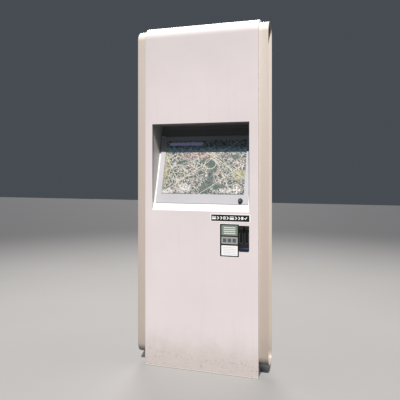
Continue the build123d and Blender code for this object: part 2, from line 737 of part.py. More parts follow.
def door_gasket():
    """Foam frame inside the door, pressed against the rear frame."""
    strip = block(-SEAL_HALF, SEAL_HALF, CORE_DEPTH + 0.2, DOOR_FACE - SHEET, SEAL_LOW, SEAL_HIGH)
    half = SEAL_HALF - SEAL_WIDTH
    z0, z1 = SEAL_LOW + SEAL_WIDTH, SEAL_HIGH - SEAL_WIDTH
    return strip - block(-half, half, CORE_DEPTH - 1, DOOR_FACE, z0, z1)


def door_stiffeners():
    """Two upright hat bars inside the door."""
    bars = []
    rear = DOOR_FACE - SHEET
    inner = STIFF_HALF - SHEET
    for x in (-STIFF_X, STIFF_X):
        bar = block(x - STIFF_HALF, x + STIFF_HALF, STIFF_FRONT, rear, STIFF_LOW, STIFF_HIGH)
        hollow = block(x - inner, x + inner, STIFF_FRONT + SHEET, rear + 1, STIFF_LOW - 1, STIFF_HIGH + 1)
        bars.append(bar - hollow)
    return bars


def hinge_barrel(z0, z1):
    return rod_z(BARREL_R, DOOR_AXIS_X, DOOR_AXIS_Y, z0, z1)


def door_hinges_fixed():
    """Lower knuckles on leaves that lie on the core's side panel."""
    halves = []
    for z in HINGE_ZS:
        z0, z1 = z - HINGE_HEIGHT / 2, z - 0.5
        half = hinge_barrel(z0, z1) + block(CORE_HALF, CORE_HALF + 3, DOOR_AXIS_Y - 40, DOOR_AXIS_Y, z0, z1)
        halves.append(half - rod_z(HINGE_PIN_R, DOOR_AXIS_X, DOOR_AXIS_Y, z0 - 1, z1 + 1))
    return halves


def door_hinges_moving():
    """Upper knuckles, joined to the door's edge."""
    halves = []
    y0, y1 = DOOR_AXIS_Y - 2.5, DOOR_AXIS_Y + 2.5
    for z in HINGE_ZS:
        z0, z1 = z + 0.5, z + HINGE_HEIGHT / 2
        half = hinge_barrel(z0, z1) + block(DOOR_HALF, DOOR_AXIS_X, y0, y1, z0, z1)
        halves.append(half - rod_z(HINGE_PIN_R + RUNNING, DOOR_AXIS_X, DOOR_AXIS_Y, z0 - 1, z1 + 1))
    return halves


def door_hinge_pins():
    """Pins with round heads on top."""
    pins = []
    for z in HINGE_ZS:
        top = z + HINGE_HEIGHT / 2
        pin = rod_z(HINGE_PIN_R, DOOR_AXIS_X, DOOR_AXIS_Y, z - HINGE_HEIGHT / 2, top + 1)
        pins.append(pin + rod_z(HINGE_HEAD_R, DOOR_AXIS_X, DOOR_AXIS_Y, top + 0.3, top + 3))
    return pins


# ---- door latch ----
def latch_plate():
    """Rounded plate on the door under the lever."""
    plate = block(LATCH_X - 20, LATCH_X + 20, DOOR_FACE, DOOR_FACE + 3, LATCH_Z - 95, LATCH_Z + 45)
    plate = fillet(plate.edges().filter_by(Axis.Y), 12)
    return plate - rod_y(SPINDLE_R + RUNNING, LATCH_X, DOOR_FACE - 1, DOOR_FACE + 4, LATCH_Z)


def latch_lever():
    """Lever across the door at rest, with its hub and spindle."""
    front = DOOR_FACE + 3.3
    grip = block(LATCH_X, LATCH_X + LEVER_REACH, front + 2, REAR_REACH - 1, LATCH_Z - 10, LATCH_Z + 10)
    grip = fillet(grip.edges().filter_by(Axis.Y).group_by(Axis.X)[-1], 9)
    hub = rod_y(15, LATCH_X, front, REAR_REACH, LATCH_Z)
    return hub + grip + rod_y(SPINDLE_R, LATCH_X, LATCH_CAM_BACK, front + 1, LATCH_Z)


def latch_cam():
    """Tongue that hangs down at rest; a quarter turn takes it behind the frame's edge."""
    y0, y1 = LATCH_CAM_FRONT, LATCH_CAM_BACK
    cam = rod_y(13, LATCH_X, y0, y1, LATCH_Z)
    return cam + block(LATCH_X - 9, LATCH_X + 9, y0, y1, LATCH_Z - LATCH_CAM_REACH, LATCH_Z)


# ---- fan ----
def fan_housing():
    """Square fan frame with a round duct, four struts and the motor mount."""
    box = block(-FAN_HALF, FAN_HALF, FAN_Y0, FAN_Y1, FAN_Z - FAN_HALF, FAN_Z + FAN_HALF)
    box -= rod_y(DUCT_R, 0, FAN_Y0 - 1, FAN_Y1 + 1, FAN_Z)
    box += rod_y(HUB_R, 0, FAN_Y1 - 7, FAN_Y1, FAN_Z)
    for turn in range(4):
        strut = block(HUB_R - 2, DUCT_R + 1, FAN_Y1 - 5, FAN_Y1 - 1, -2.5, 2.5)
        box += Pos(0, 0, FAN_Z) * Rot(0, 45 + turn * 90, 0) * strut
    return box - rod_y(SHAFT_R + RUNNING, 0, FAN_Y1 - 15, FAN_Y1 - 2, FAN_Z)


def fan_rotor():
    """Hub, seven pitched blades and the shaft."""
    rotor = rod_y(HUB_R, 0, FAN_Y0 + 5, FAN_Y1 - 8, FAN_Z)
    rotor += rod_y(SHAFT_R, 0, FAN_Y1 - 9, FAN_Y1 - 2.5, FAN_Z)
    for blade in range(BLADES):
        vane = Pos(36, (FAN_Y0 + FAN_Y1 - 3) / 2, 0) * Rot(BLADE_PITCH, 0, 0) * Box(36, 1.6, 26)
        rotor += Pos(0, 0, FAN_Z) * Rot(0, blade * 360 / BLADES, 0) * vane
    return rotor


def fan_guard():
    """Wire finger guard on the fan's inner face."""
    y = FAN_Y0 - 1.5
    guard = rod_y(14, 0, y - 1, y + 1, FAN_Z)
    wire = GUARD_WIRE
    for ring in range(GUARD_RINGS):
        guard += Pos(0, y, FAN_Z) * Rot(90, 0, 0) * Torus(GUARD_R0 + ring * GUARD_STEP, wire)
    for turn in range(4):
        spoke = block(0, 76, y - wire, y + wire, -wire, wire)
        guard += Pos(0, 0, FAN_Z) * Rot(0, 45 + turn * 90, 0) * spoke
    return guard


# ---- equipment ----
def equipment_plate():
    """Upright mounting plate at the front of the lower space, facing the door."""
    return block(-PANEL_IN, PANEL_IN, PLATE_Y, PLATE_Y + SHEET, PLATE_Z0, PLATE_Z1)


def din_rail():
    """Top-hat mounting rail."""
    half = RAIL_HALF
    lip = RAIL_LIP
    rail = block(-half, half, RAIL_BACK, RAIL_BACK + lip, RAIL_Z - RAIL_RISE - 0.5, RAIL_Z + RAIL_RISE + 0.5)
    for side in (-1, 1):
        z = RAIL_Z + side * RAIL_RISE
        rail += block(-half, half, RAIL_BACK, DEVICE_Y, z - lip / 2, z + lip / 2)
        low, high = sorted((z, RAIL_Z + side * RAIL_EDGE))
        rail += block(-half, half, DEVICE_Y - lip, DEVICE_Y, low, high)
    return rail


def on_rail(x0, x1, rear, tall):
    """A device's box, clipped to the rail; tall is half its height."""
    return block(x0, x1, DEVICE_Y, rear, RAIL_Z - tall, RAIL_Z + tall)


def breaker_body():
    """Breaker with a slot for its toggle and two blind pivot holes."""
    body = on_rail(BREAKER_X0, BREAKER_X1, 130, 45)
    body += block(BREAKER_X0, BREAKER_X1, 130, 138, RAIL_Z - 23, RAIL_Z + 23)
    body -= block(BREAKER_MID - 6, BREAKER_MID + 6, 118, 140, RAIL_Z - 14, RAIL_Z + 14)
    return body - rod_x(TOGGLE_PIN_R + RUNNING, BREAKER_MID - 9.5, BREAKER_MID + 9.5, TOGGLE_Y, TOGGLE_Z)


def breaker_toggle():
    """Toggle that points up and out when on, with its trunnions."""
    toggle = rod_x(TOGGLE_R, BREAKER_MID - 5.5, BREAKER_MID + 5.5, TOGGLE_Y, TOGGLE_Z)
    toggle += rod_x(TOGGLE_PIN_R, BREAKER_MID - 9, BREAKER_MID + 9, TOGGLE_Y, TOGGLE_Z)
    lever = Rot(TOGGLE_ANGLE, 0, 0) * block(BREAKER_MID - 5, BREAKER_MID + 5, 3, 20, -2.5, 2.5)
    return toggle + Pos(0, TOGGLE_Y, TOGGLE_Z) * lever


def terminal_block():
    """Row of rail terminals with screw wells."""
    face = 112
    row = on_rail(-110, 2, face, 28)
    for step in range(8):
        x = -103 + step * TERMINAL_PITCH
        for z in (RAIL_Z - 18, RAIL_Z + 18):
            row -= rod_y(3, x, face - 8, face + 1, z)
        row -= block(x - 7.4, x - 6.6, face - 4, face + 1, RAIL_Z - 29, RAIL_Z + 29)
    return row


def power_supply():
    """Enclosed supply with slots in its face."""
    face = 175
    body = on_rail(30, 150, face, 65)
    for step in range(8):
        body -= block(45 + step * 12, 50 + step * 12, face - 5, face + 1, RAIL_Z - 40, RAIL_Z + 40)
    return body


def network_module():
    """Small module with three sockets."""
    face = 150
    body = on_rail(175, 225, face, 55)
    for step in range(3):
        low = RAIL_Z - 35 + step * 22
        body -= block(188, 204, face - 8, face + 1, low, low + 14)
    return body


def computer_shelf():
    """Shelf between the side panels with a turned-up front edge."""
    top = SHELF_Z + SHEET
    shelf = block(-PANEL_IN, PANEL_IN, PLATE_Y, SHELF_REAR, SHELF_Z, top)
    return shelf + block(-PANEL_IN, PANEL_IN, PLATE_Y, PLATE_Y + SHEET, top, SHELF_Z + SHELF_LIP)


def computer():
    """Fanless computer: finned case with a row of sockets facing the door."""
    low = SHELF_Z + SHEET
    top = low + CASE_HIGH
    case = block(-CASE_HALF, CASE_HALF, CASE_Y0, CASE_Y1, low, top)
    for step in range(5):
        x = -100 + step * 42
        case -= block(x, x + 24, CASE_Y1 - 8, CASE_Y1 + 1, low + 12, low + 28)
    for step in range(14):
        x = -108 + step * FIN_PITCH
        case += block(x, x + 3, CASE_Y0 + 5, CASE_Y1 - 5, top - 1, top + FIN_HIGH)
    return case


def cable_trunking():
    """Slotted trunking up the left of the door opening, above and below the shelf."""
    x0, x1 = DUCT_X0, DUCT_X0 + DUCT_SIZE
    y0, y1 = DUCT_Y0, DUCT_Y0 + DUCT_SIZE
    runs = []
    for z0, z1 in DUCT_RUNS:
        run = block(x0, x1, y0, y1, z0, z1)
        run -= block(x0 + SHEET, x1 - SHEET, y0 + SHEET, y1 - SHEET, z0 - 1, z1 + 1)
        count = int((z1 - z0 - DUCT_END) / DUCT_PITCH)
        for step in range(count):
            z = z0 + DUCT_END + step * DUCT_PITCH
            run -= block(x1 - 4, x1 + 1, y0 + 6, y1 - 6, z, z + DUCT_SLOT)
        runs.append(run)
    return runs


# ---- write every node ----
save("base_plate", base_plate())
save("plinth_skirt", plinth_skirt())
save("foot_gussets", *foot_gussets())
save("floor_plate", floor_plate())
save("cable_gland", cable_gland())
for word, sign in (("left", -1), ("right", 1)):
    save(f"trim_band_{word}", trim_band(sign))
    save(f"side_panel_{word}", side_panel(sign))
save("frame_posts", *frame_posts())
save("cross_rails", *cross_rails())
save("cover_standoffs", *cover_standoffs())
save("front_cover", front_cover())
save("roof_plate", roof_plate())
save("antenna_puck", antenna_puck())
save("panel_screws", *panel_screws())
save("recess_walls", *recess_walls())
save("recess_sill", recess_sill())
save("recess_ring", recess_ring())
save("bezel_gasket", bezel_gasket())
save("screen_bezel", screen_bezel())
save("touch_glass", touch_glass())
save("lcd_panel", lcd_panel())
save("lcd_back_box", lcd_back_box())
save("controller_board", controller_board())
save("screen_hinge_fixed", screen_hinge_fixed())
save("screen_hinge_moving", screen_hinge_moving())
save("screen_hinge_pin", screen_hinge_pin())
save("lock_knob", lock_knob())
save("lock_cam", lock_cam())
save("label_plate", rounded_plate(*LABEL))
save("mark_plate", rounded_plate(*MARK))
save("reader_bezel", reader_bezel())
save("reader_body", reader_body())
save("reader_shutter", reader_shutter())
save("reader_bracket", reader_bracket())
save("rear_frame", rear_frame())
save("rear_door", rear_door())
save("louvres", *[louvre(z) for z in VENT_ZS])
save("door_gasket", door_gasket())
save("door_stiffeners", *door_stiffeners())
save("door_hinges_fixed", *door_hinges_fixed())
save("door_hinges_moving", *door_hinges_moving())
save("door_hinge_pins", *door_hinge_pins())
save("latch_plate", latch_plate())
save("latch_lever", latch_lever())
save("latch_cam", latch_cam())
save("fan_housing", fan_housing())
save("fan_rotor", fan_rotor())
save("fan_guard", fan_guard())
save("equipment_plate", equipment_plate())
save("din_rail", din_rail())
save("breaker_body", breaker_body())
save("breaker_toggle", breaker_toggle())
save("terminal_block", terminal_block())
save("power_supply", power_supply())
save("network_module", network_module())
save("computer_shelf", computer_shelf())
save("computer", computer())
save("cable_trunking", *cable_trunking())
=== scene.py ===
import json
import math

import bmesh
import bpy
from mathutils import Matrix, Vector


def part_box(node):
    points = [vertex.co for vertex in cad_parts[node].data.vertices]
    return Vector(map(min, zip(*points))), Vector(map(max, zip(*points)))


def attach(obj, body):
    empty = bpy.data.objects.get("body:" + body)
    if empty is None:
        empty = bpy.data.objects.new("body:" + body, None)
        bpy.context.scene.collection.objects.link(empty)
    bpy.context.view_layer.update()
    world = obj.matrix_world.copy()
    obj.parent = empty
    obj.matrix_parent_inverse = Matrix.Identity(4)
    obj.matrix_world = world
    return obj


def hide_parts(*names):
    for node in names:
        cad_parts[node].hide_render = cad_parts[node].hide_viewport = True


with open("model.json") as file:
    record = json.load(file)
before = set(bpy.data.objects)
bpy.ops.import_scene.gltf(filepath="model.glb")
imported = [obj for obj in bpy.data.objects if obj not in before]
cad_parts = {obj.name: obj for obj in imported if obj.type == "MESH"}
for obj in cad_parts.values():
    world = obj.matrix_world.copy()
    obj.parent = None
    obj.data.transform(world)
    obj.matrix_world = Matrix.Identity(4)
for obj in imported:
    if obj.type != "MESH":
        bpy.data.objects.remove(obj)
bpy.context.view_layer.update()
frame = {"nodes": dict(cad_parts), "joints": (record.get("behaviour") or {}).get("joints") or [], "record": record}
nodes = frame["nodes"]
joints = {joint["name"]: joint for joint in frame["joints"]}

MM = 0.001

# ---- places, worked out from the frame ----
COVER_LOW, COVER_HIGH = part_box("front_cover")
FACE_Y = COVER_LOW.y                       # front face of the cover
HEIGHT = COVER_HIGH.z
COVER_HALF = COVER_HIGH.x
BAND_LOW, BAND_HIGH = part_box("trim_band_right")
BAND_R = (BAND_HIGH.y - BAND_LOW.y) / 2
STANDOFF = BAND_LOW.y - FACE_Y
ROLL_R = BAND_R + STANDOFF
ROLL_Y = FACE_Y + ROLL_R
ROLL_Z = HEIGHT - ROLL_R
SHEET = 2 * MM
BAND_SHEET = 3 * MM
BEZEL_SHEET = 4 * MM

WALLS_LOW, WALLS_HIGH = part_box("recess_walls")
OPENING_X0 = WALLS_LOW.x + 10.5 * MM        # the cover laps over the recess's side walls
OPENING_X1 = WALLS_HIGH.x - 10.5 * MM
RECESS_TOP = WALLS_HIGH.z - SHEET
RECESS_BOTTOM = WALLS_LOW.z + SHEET

BEZEL_LOW, BEZEL_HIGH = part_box("screen_bezel")
OUT = Vector(joints["lock_turn"]["axis"]).normalized()      # out of the screen
UP = Vector((0, OUT.z, -OUT.y))                             # up the slope
SLOPE_ORIGIN = Vector((0, BEZEL_LOW.y, BEZEL_LOW.z + BEZEL_SHEET * OUT.z))   # bezel's lower front edge
SLOPE = Matrix.Translation(SLOPE_ORIGIN) @ Matrix(
    ((1, UP.x, OUT.x, 0), (0, UP.y, OUT.y, 0), (0, UP.z, OUT.z, 0), (0, 0, 0, 1))
)
# drawings for the cover's front: x to the right, y up, z towards the viewer
FRONT = Matrix.Translation((0, FACE_Y, 0)) @ Matrix(
    ((1, 0, 0, 0), (0, 0, -1, 0), (0, 1, 0, 0), (0, 0, 0, 1))
)


def new_object(name, data):
    obj = bpy.data.objects.new(name, data)
    bpy.context.scene.collection.objects.link(obj)
    return obj


# ---- camera, light and floor ----
def add_camera():
    """Eye height and distance follow from the object's height, with level verticals."""
    data = bpy.data.cameras.new("camera")
    data.lens = 43.47
    data.sensor_width = 36
    data.shift_y = -0.0799
    camera = new_object("camera", data)
    camera.location = (0.411 * HEIGHT, FACE_Y - 1.3178 * HEIGHT, 0.5816 * HEIGHT)
    camera.rotation_euler = (math.radians(90), 0, math.radians(17.28))
    bpy.context.scene.camera = camera


def add_sun(name, elevation, azimuth, strength, angle):
    """A sun lamp; azimuth is measured from straight ahead of the cover, angles are in degrees."""
    data = bpy.data.lights.new(name, "SUN")
    data.energy = strength
    data.angle = math.radians(angle)
    data.color = (1.0, 0.965, 0.95)
    sun = new_object(name, data)
    sun.rotation_euler = (math.radians(90 - elevation), 0, math.radians(azimuth))


def add_stage():
    world = bpy.data.worlds.new("studio")
    bpy.context.scene.world = world
    world.use_nodes = True
    back = world.node_tree.nodes["Background"]
    back.inputs["Color"].default_value = (0.73, 0.86, 1.0, 1)
    back.inputs["Strength"].default_value = 0.085
    bm = bmesh.new()
    bmesh.ops.create_grid(bm, x_segments=2, y_segments=2, size=14)
    mesh = bpy.data.meshes.new("studio_floor")
    bm.to_mesh(mesh)
    bm.free()
    floor = new_object("studio_floor", mesh)
    floor.data.materials.append(floor_finish())
    floor.visible_diffuse = False


# ---- materials ----
class Paint:
    """The nodes of one procedural material, drawn in the object's own metres."""

    def __init__(self, name, rough=0.5, metal=0.0, color=(0.5, 0.5, 0.5), **sockets):
        self.mat = bpy.data.materials.new(name)
        self.mat.use_nodes = True
        self.tree = self.mat.node_tree
        self.shader = self.tree.nodes["Principled BSDF"]
        self.place = self.tree.nodes.new("ShaderNodeTexCoord").outputs["Object"]
        self.put(self.shader.inputs["Base Color"], color)
        self.put(self.shader.inputs["Roughness"], rough)
        self.put(self.shader.inputs["Metallic"], metal)
        for key, value in sockets.items():
            self.put(self.shader.inputs[key.replace("_", " ")], value)

    def put(self, socket, value):
        if isinstance(value, bpy.types.NodeSocket):
            self.tree.links.new(value, socket)
        elif isinstance(value, (tuple, list)) and len(socket.default_value) == 4 and len(value) == 3:
            socket.default_value = (*value, 1)
        else:
            socket.default_value = value

    def node(self, kind, **settings):
        made = self.tree.nodes.new(kind)
        for key, value in settings.items():
            setattr(made, key, value)
        return made

    def math(self, operation, *values):
        made = self.node("ShaderNodeMath", operation=operation)
        for socket, value in zip(made.inputs, values):
            self.put(socket, value)
        return made.outputs[0]

    def times(self, first, second):
        return self.math("MULTIPLY", first, second)

    def vector(self, operation, *values):
        made = self.node("ShaderNodeVectorMath", operation=operation)
        for socket, value in zip(made.inputs, values):
            self.put(socket, value)
        scalar = operation in ("DOT_PRODUCT", "LENGTH", "DISTANCE")
        return made.outputs[1 if scalar else 0]

    def split(self, value):
        """The three parts of a place or a colour."""
        made = self.node("ShaderNodeSeparateXYZ")
        self.put(made.inputs[0], value)
        return made.outputs

    def stretch(self, scale):
        """The place, stretched along each axis."""
        made = self.node("ShaderNodeMapping")
        self.put(made.inputs["Vector"], self.place)
        made.inputs["Scale"].default_value = scale
        return made.outputs[0]

    def noise(self, scale, detail=3.0, rough=0.5, place=None):
        made = self.node("ShaderNodeTexNoise")
        self.put(made.inputs["Vector"], place or self.place)
        made.inputs["Scale"].default_value = scale
        made.inputs["Detail"].default_value = detail
        made.inputs["Roughness"].default_value = rough
        return made.outputs[0]

    def voronoi(self, scale, feature="F1", output="Distance", place=None, randomness=1.0, metric="EUCLIDEAN"):
        made = self.node("ShaderNodeTexVoronoi", feature=feature)
        if feature == "F1":
            made.distance = metric
        self.put(made.inputs["Vector"], place or self.place)
        made.inputs["Scale"].default_value = scale
        made.inputs["Randomness"].default_value = randomness
        return made.outputs[output]

    def span(self, value, low, high, to_low=0.0, to_high=1.0, smooth=True):
        """Maps low..high to to_low..to_high, held at the ends."""
        made = self.node("ShaderNodeMapRange", interpolation_type="SMOOTHSTEP" if smooth else "LINEAR")
        for socket, number in zip(made.inputs, (value, low, high, to_low, to_high)):
            self.put(socket, number)
        return made.outputs[0]

    def axis(self, letter):
        return self.split(self.place)["XYZ".index(letter)]

    def mix(self, factor, first, second, blend="MIX"):
        made = self.node("ShaderNodeMix", data_type="RGBA", blend_type=blend)
        self.put(made.inputs[0], factor)
        self.put(made.inputs[6], first)
        self.put(made.inputs[7], second)
        return made.outputs[2]

    def over(self, base, mask, rgb):
        """The base with an sRGB tone laid over it where the mask says."""
        return self.mix(mask, base, shade(rgb))

    def ramp(self, factor, stops):
        made = self.node("ShaderNodeValToRGB")
        self.put(made.inputs[0], factor)
        marks = made.color_ramp.elements
        while len(marks) < len(stops):
            marks.new(0.5)
        for mark, (position, color) in zip(marks, stops):
            mark.position = position
            mark.color = (*color, 1)
        return made.outputs[0]

    def color(self, value):
        self.put(self.shader.inputs["Base Color"], value)
        return self

    def rough(self, value):
        self.put(self.shader.inputs["Roughness"], value)
        return self

    def bump(self, height, strength=0.3, distance=0.0005):
        made = self.node("ShaderNodeBump")
        made.inputs["Strength"].default_value = strength
        made.inputs["Distance"].default_value = distance
        self.put(made.inputs["Height"], height)
        self.put(self.shader.inputs["Normal"], made.outputs[0])
        return self


def shade(rgb):
    """Linear colour of an sRGB colour given as 0 to 255."""
    def channel(value):
        value /= 255
        return value / 12.92 if value <= 0.04045 else ((value + 0.055) / 1.055) ** 2.4
    return tuple(channel(value) for value in rgb)


def floor_finish():
    """Pale and matt round the object, darker far away."""
    paint = Paint("studio_floor", rough=0.8)
    cloud = paint.noise(0.8, detail=4)
    pale = paint.mix(cloud, shade((160, 159, 157)), shade((170, 169, 167)))
    far = paint.span(paint.vector("LENGTH", paint.place), 1.5, 7.0)
    return paint.color(paint.mix(far, pale, shade((84, 85, 87)))).mat


def cover_finish():
    """Pinkish white enamel: orange peel, faint runs, sparse specks and dirt rising from the ground; painted shade
    greys the upper part, painted highlights pale the foot and the roll's top.
    """
    paint = Paint("cover_enamel", rough=0.42, Coat_Weight=0.15, Coat_Roughness=0.25)
    cloud = paint.noise(3.0, detail=5, rough=0.6)
    base = paint.mix(cloud, shade((224, 215, 214)), shade((236, 227, 226)))
    runs = paint.noise(1.0, detail=5, rough=0.65, place=paint.stretch((26, 26, 1.1)))
    base = paint.over(base, paint.span(runs, 0.52, 0.78, 0, 0.30), (214, 203, 198))
    specks = paint.voronoi(46)
    rare = paint.noise(9, detail=2)
    dots = paint.times(paint.span(specks, 0.035, 0.07, 1, 0), paint.span(rare, 0.54, 0.60, 0, 0.55))
    base = paint.over(base, dots, (176, 160, 152))
    height = paint.axis("Z")
    # painted shade: a greyer upper part, standing for the dimmer light below the roll
    base = paint.over(base, paint.span(height, 0.78 * HEIGHT, 0.95 * HEIGHT, 0, 0.6), (216, 208, 207))
    rise = paint.math("ADD", height, paint.times(paint.noise(7, detail=5, rough=0.65), -0.22))
    dirt = paint.span(rise, -0.09, 0.17, 0.55, 0)
    base = paint.over(base, dirt, (188, 176, 166))
    splash = paint.span(paint.noise(60, detail=3), 0.55, 0.72, 0, 1)
    low = paint.span(height, 0.02, 0.17, 0.5, 0)
    base = paint.over(base, paint.times(splash, low), (150, 138, 128))
    # painted highlights: a pale line along the foot, and the roll's top whitened for the open sky's light
    hem_highlight = paint.span(height, COVER_LOW.z + 2 * MM, COVER_LOW.z + 5 * MM, 0.8, 0)
    base = paint.over(base, hem_highlight, (246, 240, 234))
    roll_sky_highlight = paint.span(height, ROLL_Z + 0.012, ROLL_Z + 0.05, 0, 0.9)
    paint.color(paint.mix(roll_sky_highlight, base, shade((255, 253, 245))))
    paint.rough(paint.span(cloud, 0.3, 0.7, 0.36, 0.5))
    peel = paint.noise(420, detail=2)
    return paint.bump(peel, 0.12, 0.0003).mat


def band_finish():
    """Warm beige enamel, darker towards the bottom, with fine upright streaks; painted light pales it towards the
    rear and on the roll's top, painted shade darkens the left band.
    """
    paint = Paint("band_enamel", rough=0.38, Coat_Weight=0.2, Coat_Roughness=0.2)
    height = paint.axis("Z")
    fade = paint.span(height, 0.1, 1.95, 0, 1, smooth=False)
    base = paint.ramp(
        fade, [(0.0, shade((182, 170, 157))), (0.40, shade((204, 190, 178))), (0.97, shade((226, 215, 204)))]
    )
    # painted light: paler towards the rear, where the rear leg's inside is lit; painted shade: darker on the left
    # band, away from the light
    rear_painted_light = paint.span(paint.axis("Y"), ROLL_Y - 20 * MM, ROLL_Y + BAND_R, 0, 0.25)
    base = paint.over(base, rear_painted_light, (250, 236, 222))
    base = paint.over(base, paint.span(paint.axis("X"), 0.1, -0.1, 0, 0.35), (184, 174, 166))
    streak = paint.noise(1.0, detail=4, rough=0.6, place=paint.stretch((90, 90, 1.4)))
    base = paint.over(base, paint.span(streak, 0.5, 0.8, 0, 0.35), (190, 176, 160))
    # painted highlight: the roll's top whitened for the sky's light
    base = paint.over(base, paint.span(height, ROLL_Z, ROLL_Z + 0.05, 0, 0.8), (250, 248, 240))
    # darker towards the bottom, unevenly
    rise = paint.math("ADD", height, paint.times(paint.noise(9), -0.2))
    low_darkening = paint.span(rise, -0.05, 0.16, 0.5, 0)
    paint.color(paint.mix(low_darkening, base, shade((150, 140, 130))))
    peel = paint.noise(480, detail=2)
    return paint.bump(peel, 0.1, 0.0003).mat


def sheet_finish(name, first, second, rough=0.4, grain=380.0, streaks=0.2):
    """Painted sheet metal: slow clouding, light streaks and a fine grain."""
    paint = Paint(name, rough=rough)
    cloud = paint.noise(5, detail=5, rough=0.6)
    base = paint.mix(cloud, shade(first), shade(second))
    streak = paint.noise(1.0, detail=4, place=paint.stretch((40, 40, 2)))
    dark = tuple(value * 0.82 for value in shade(first))
    base = paint.mix(paint.span(streak, 0.55, 0.8, 0, streaks), base, dark)
    paint.color(base)
    paint.rough(paint.span(cloud, 0.3, 0.7, rough - 0.05, rough + 0.08))
    return paint.bump(paint.noise(grain, detail=2), 0.18, 0.0004).mat


def galvanised_finish():
    """Zinc spangle: angular patches of slightly different grey."""
    paint = Paint("galvanised", rough=0.45, metal=0.85)
    patch = paint.voronoi(90, output="Color")
    tone = paint.times(paint.vector("LENGTH", patch), 0.577)
    base = paint.mix(tone, shade((150, 153, 155)), shade((188, 191, 192)))
    paint.color(base)
    paint.rough(paint.span(tone, 0.2, 0.9, 0.34, 0.56))
    return paint.bump(paint.noise(200, detail=3), 0.12, 0.0003).mat


def brushed_finish(name, tone=(186, 186, 184), direction=(4, 4, 300)):
    """Brushed steel: fine lines one way, with smudges."""
    paint = Paint(name, rough=0.3, metal=1.0)
    line = paint.noise(1.0, detail=4, rough=0.7, place=paint.stretch(direction))
    smudge = paint.noise(18, detail=4)
    base = paint.mix(line, shade(tuple(value * 0.9 for value in tone)), shade(tone))
    paint.color(paint.mix(paint.span(smudge, 0.5, 0.8, 0, 0.25), base, shade((120, 118, 114))))
    paint.rough(paint.span(line, 0.3, 0.7, 0.22, 0.4))
    return paint.bump(line, 0.15, 0.0002).mat


def plastic_finish(name, tone, rough=0.45, grain=900.0, strength=0.25, shine=0.5):
    """Moulded plastic with a spark-eroded grain and slight scuffing."""
    paint = Paint(name, rough=rough, Specular_IOR_Level=shine)
    scuff = paint.noise(26, detail=5, rough=0.65)
    light = tuple(min(1.0, value * 1.5 + 0.006) for value in shade(tone))
    paint.color(paint.mix(paint.span(scuff, 0.5, 0.8, 0, 0.6), shade(tone), light))
    paint.rough(paint.span(scuff, 0.3, 0.75, rough - 0.08, rough + 0.12))
    return paint.bump(paint.voronoi(grain), strength, 0.0003).mat


def rubber_finish():
    paint = Paint("seal_rubber", rough=0.85)
    cell = paint.voronoi(700)
    paint.color(paint.mix(cell, shade((22, 22, 22)), shade((48, 47, 46))))
    return paint.bump(cell, 0.5, 0.0005).mat


def board_finish():
    """Green solder mask with fine copper tracks."""
    paint = Paint("circuit_board", rough=0.3)
    track = paint.voronoi(260, randomness=0.35, metric="MANHATTAN")
    lines = paint.span(track, 0.42, 0.5, 0, 1)
    paint.color(paint.mix(lines, shade((18, 74, 44)), shade((54, 120, 78))))
    return paint.bump(lines, 0.2, 0.0002).mat


def glass_finish():
    """Thin clear pane: its dark blue tint is a painted reflection over the display."""
    paint = Paint("screen_glass", rough=0.06, color=shade((28, 44, 66)), Alpha=0.06, IOR=1.5)
    smear = paint.noise(14, detail=4)
    paint.rough(paint.span(smear, 0.4, 0.7, 0.05, 0.16))
    paint.mat.surface_render_method = "BLENDED"
    return paint.mat


def print_finish(name, first, second):
    """Printed ink with a slow shift of tone and a fine screen."""
    paint = Paint(name, rough=0.35, Coat_Weight=0.3, Coat_Roughness=0.15)
    cloud = paint.noise(30)
    dots = paint.voronoi(1500, randomness=0.1)
    base = paint.mix(cloud, shade(first), shade(second))
    light = tuple(value * 1.15 + 0.004 for value in shade(second))
    paint.color(paint.mix(paint.span(dots, 0.2, 0.5, 0.0, 0.5), base, light))
    return paint.bump(dots, 0.05, 0.0001).mat


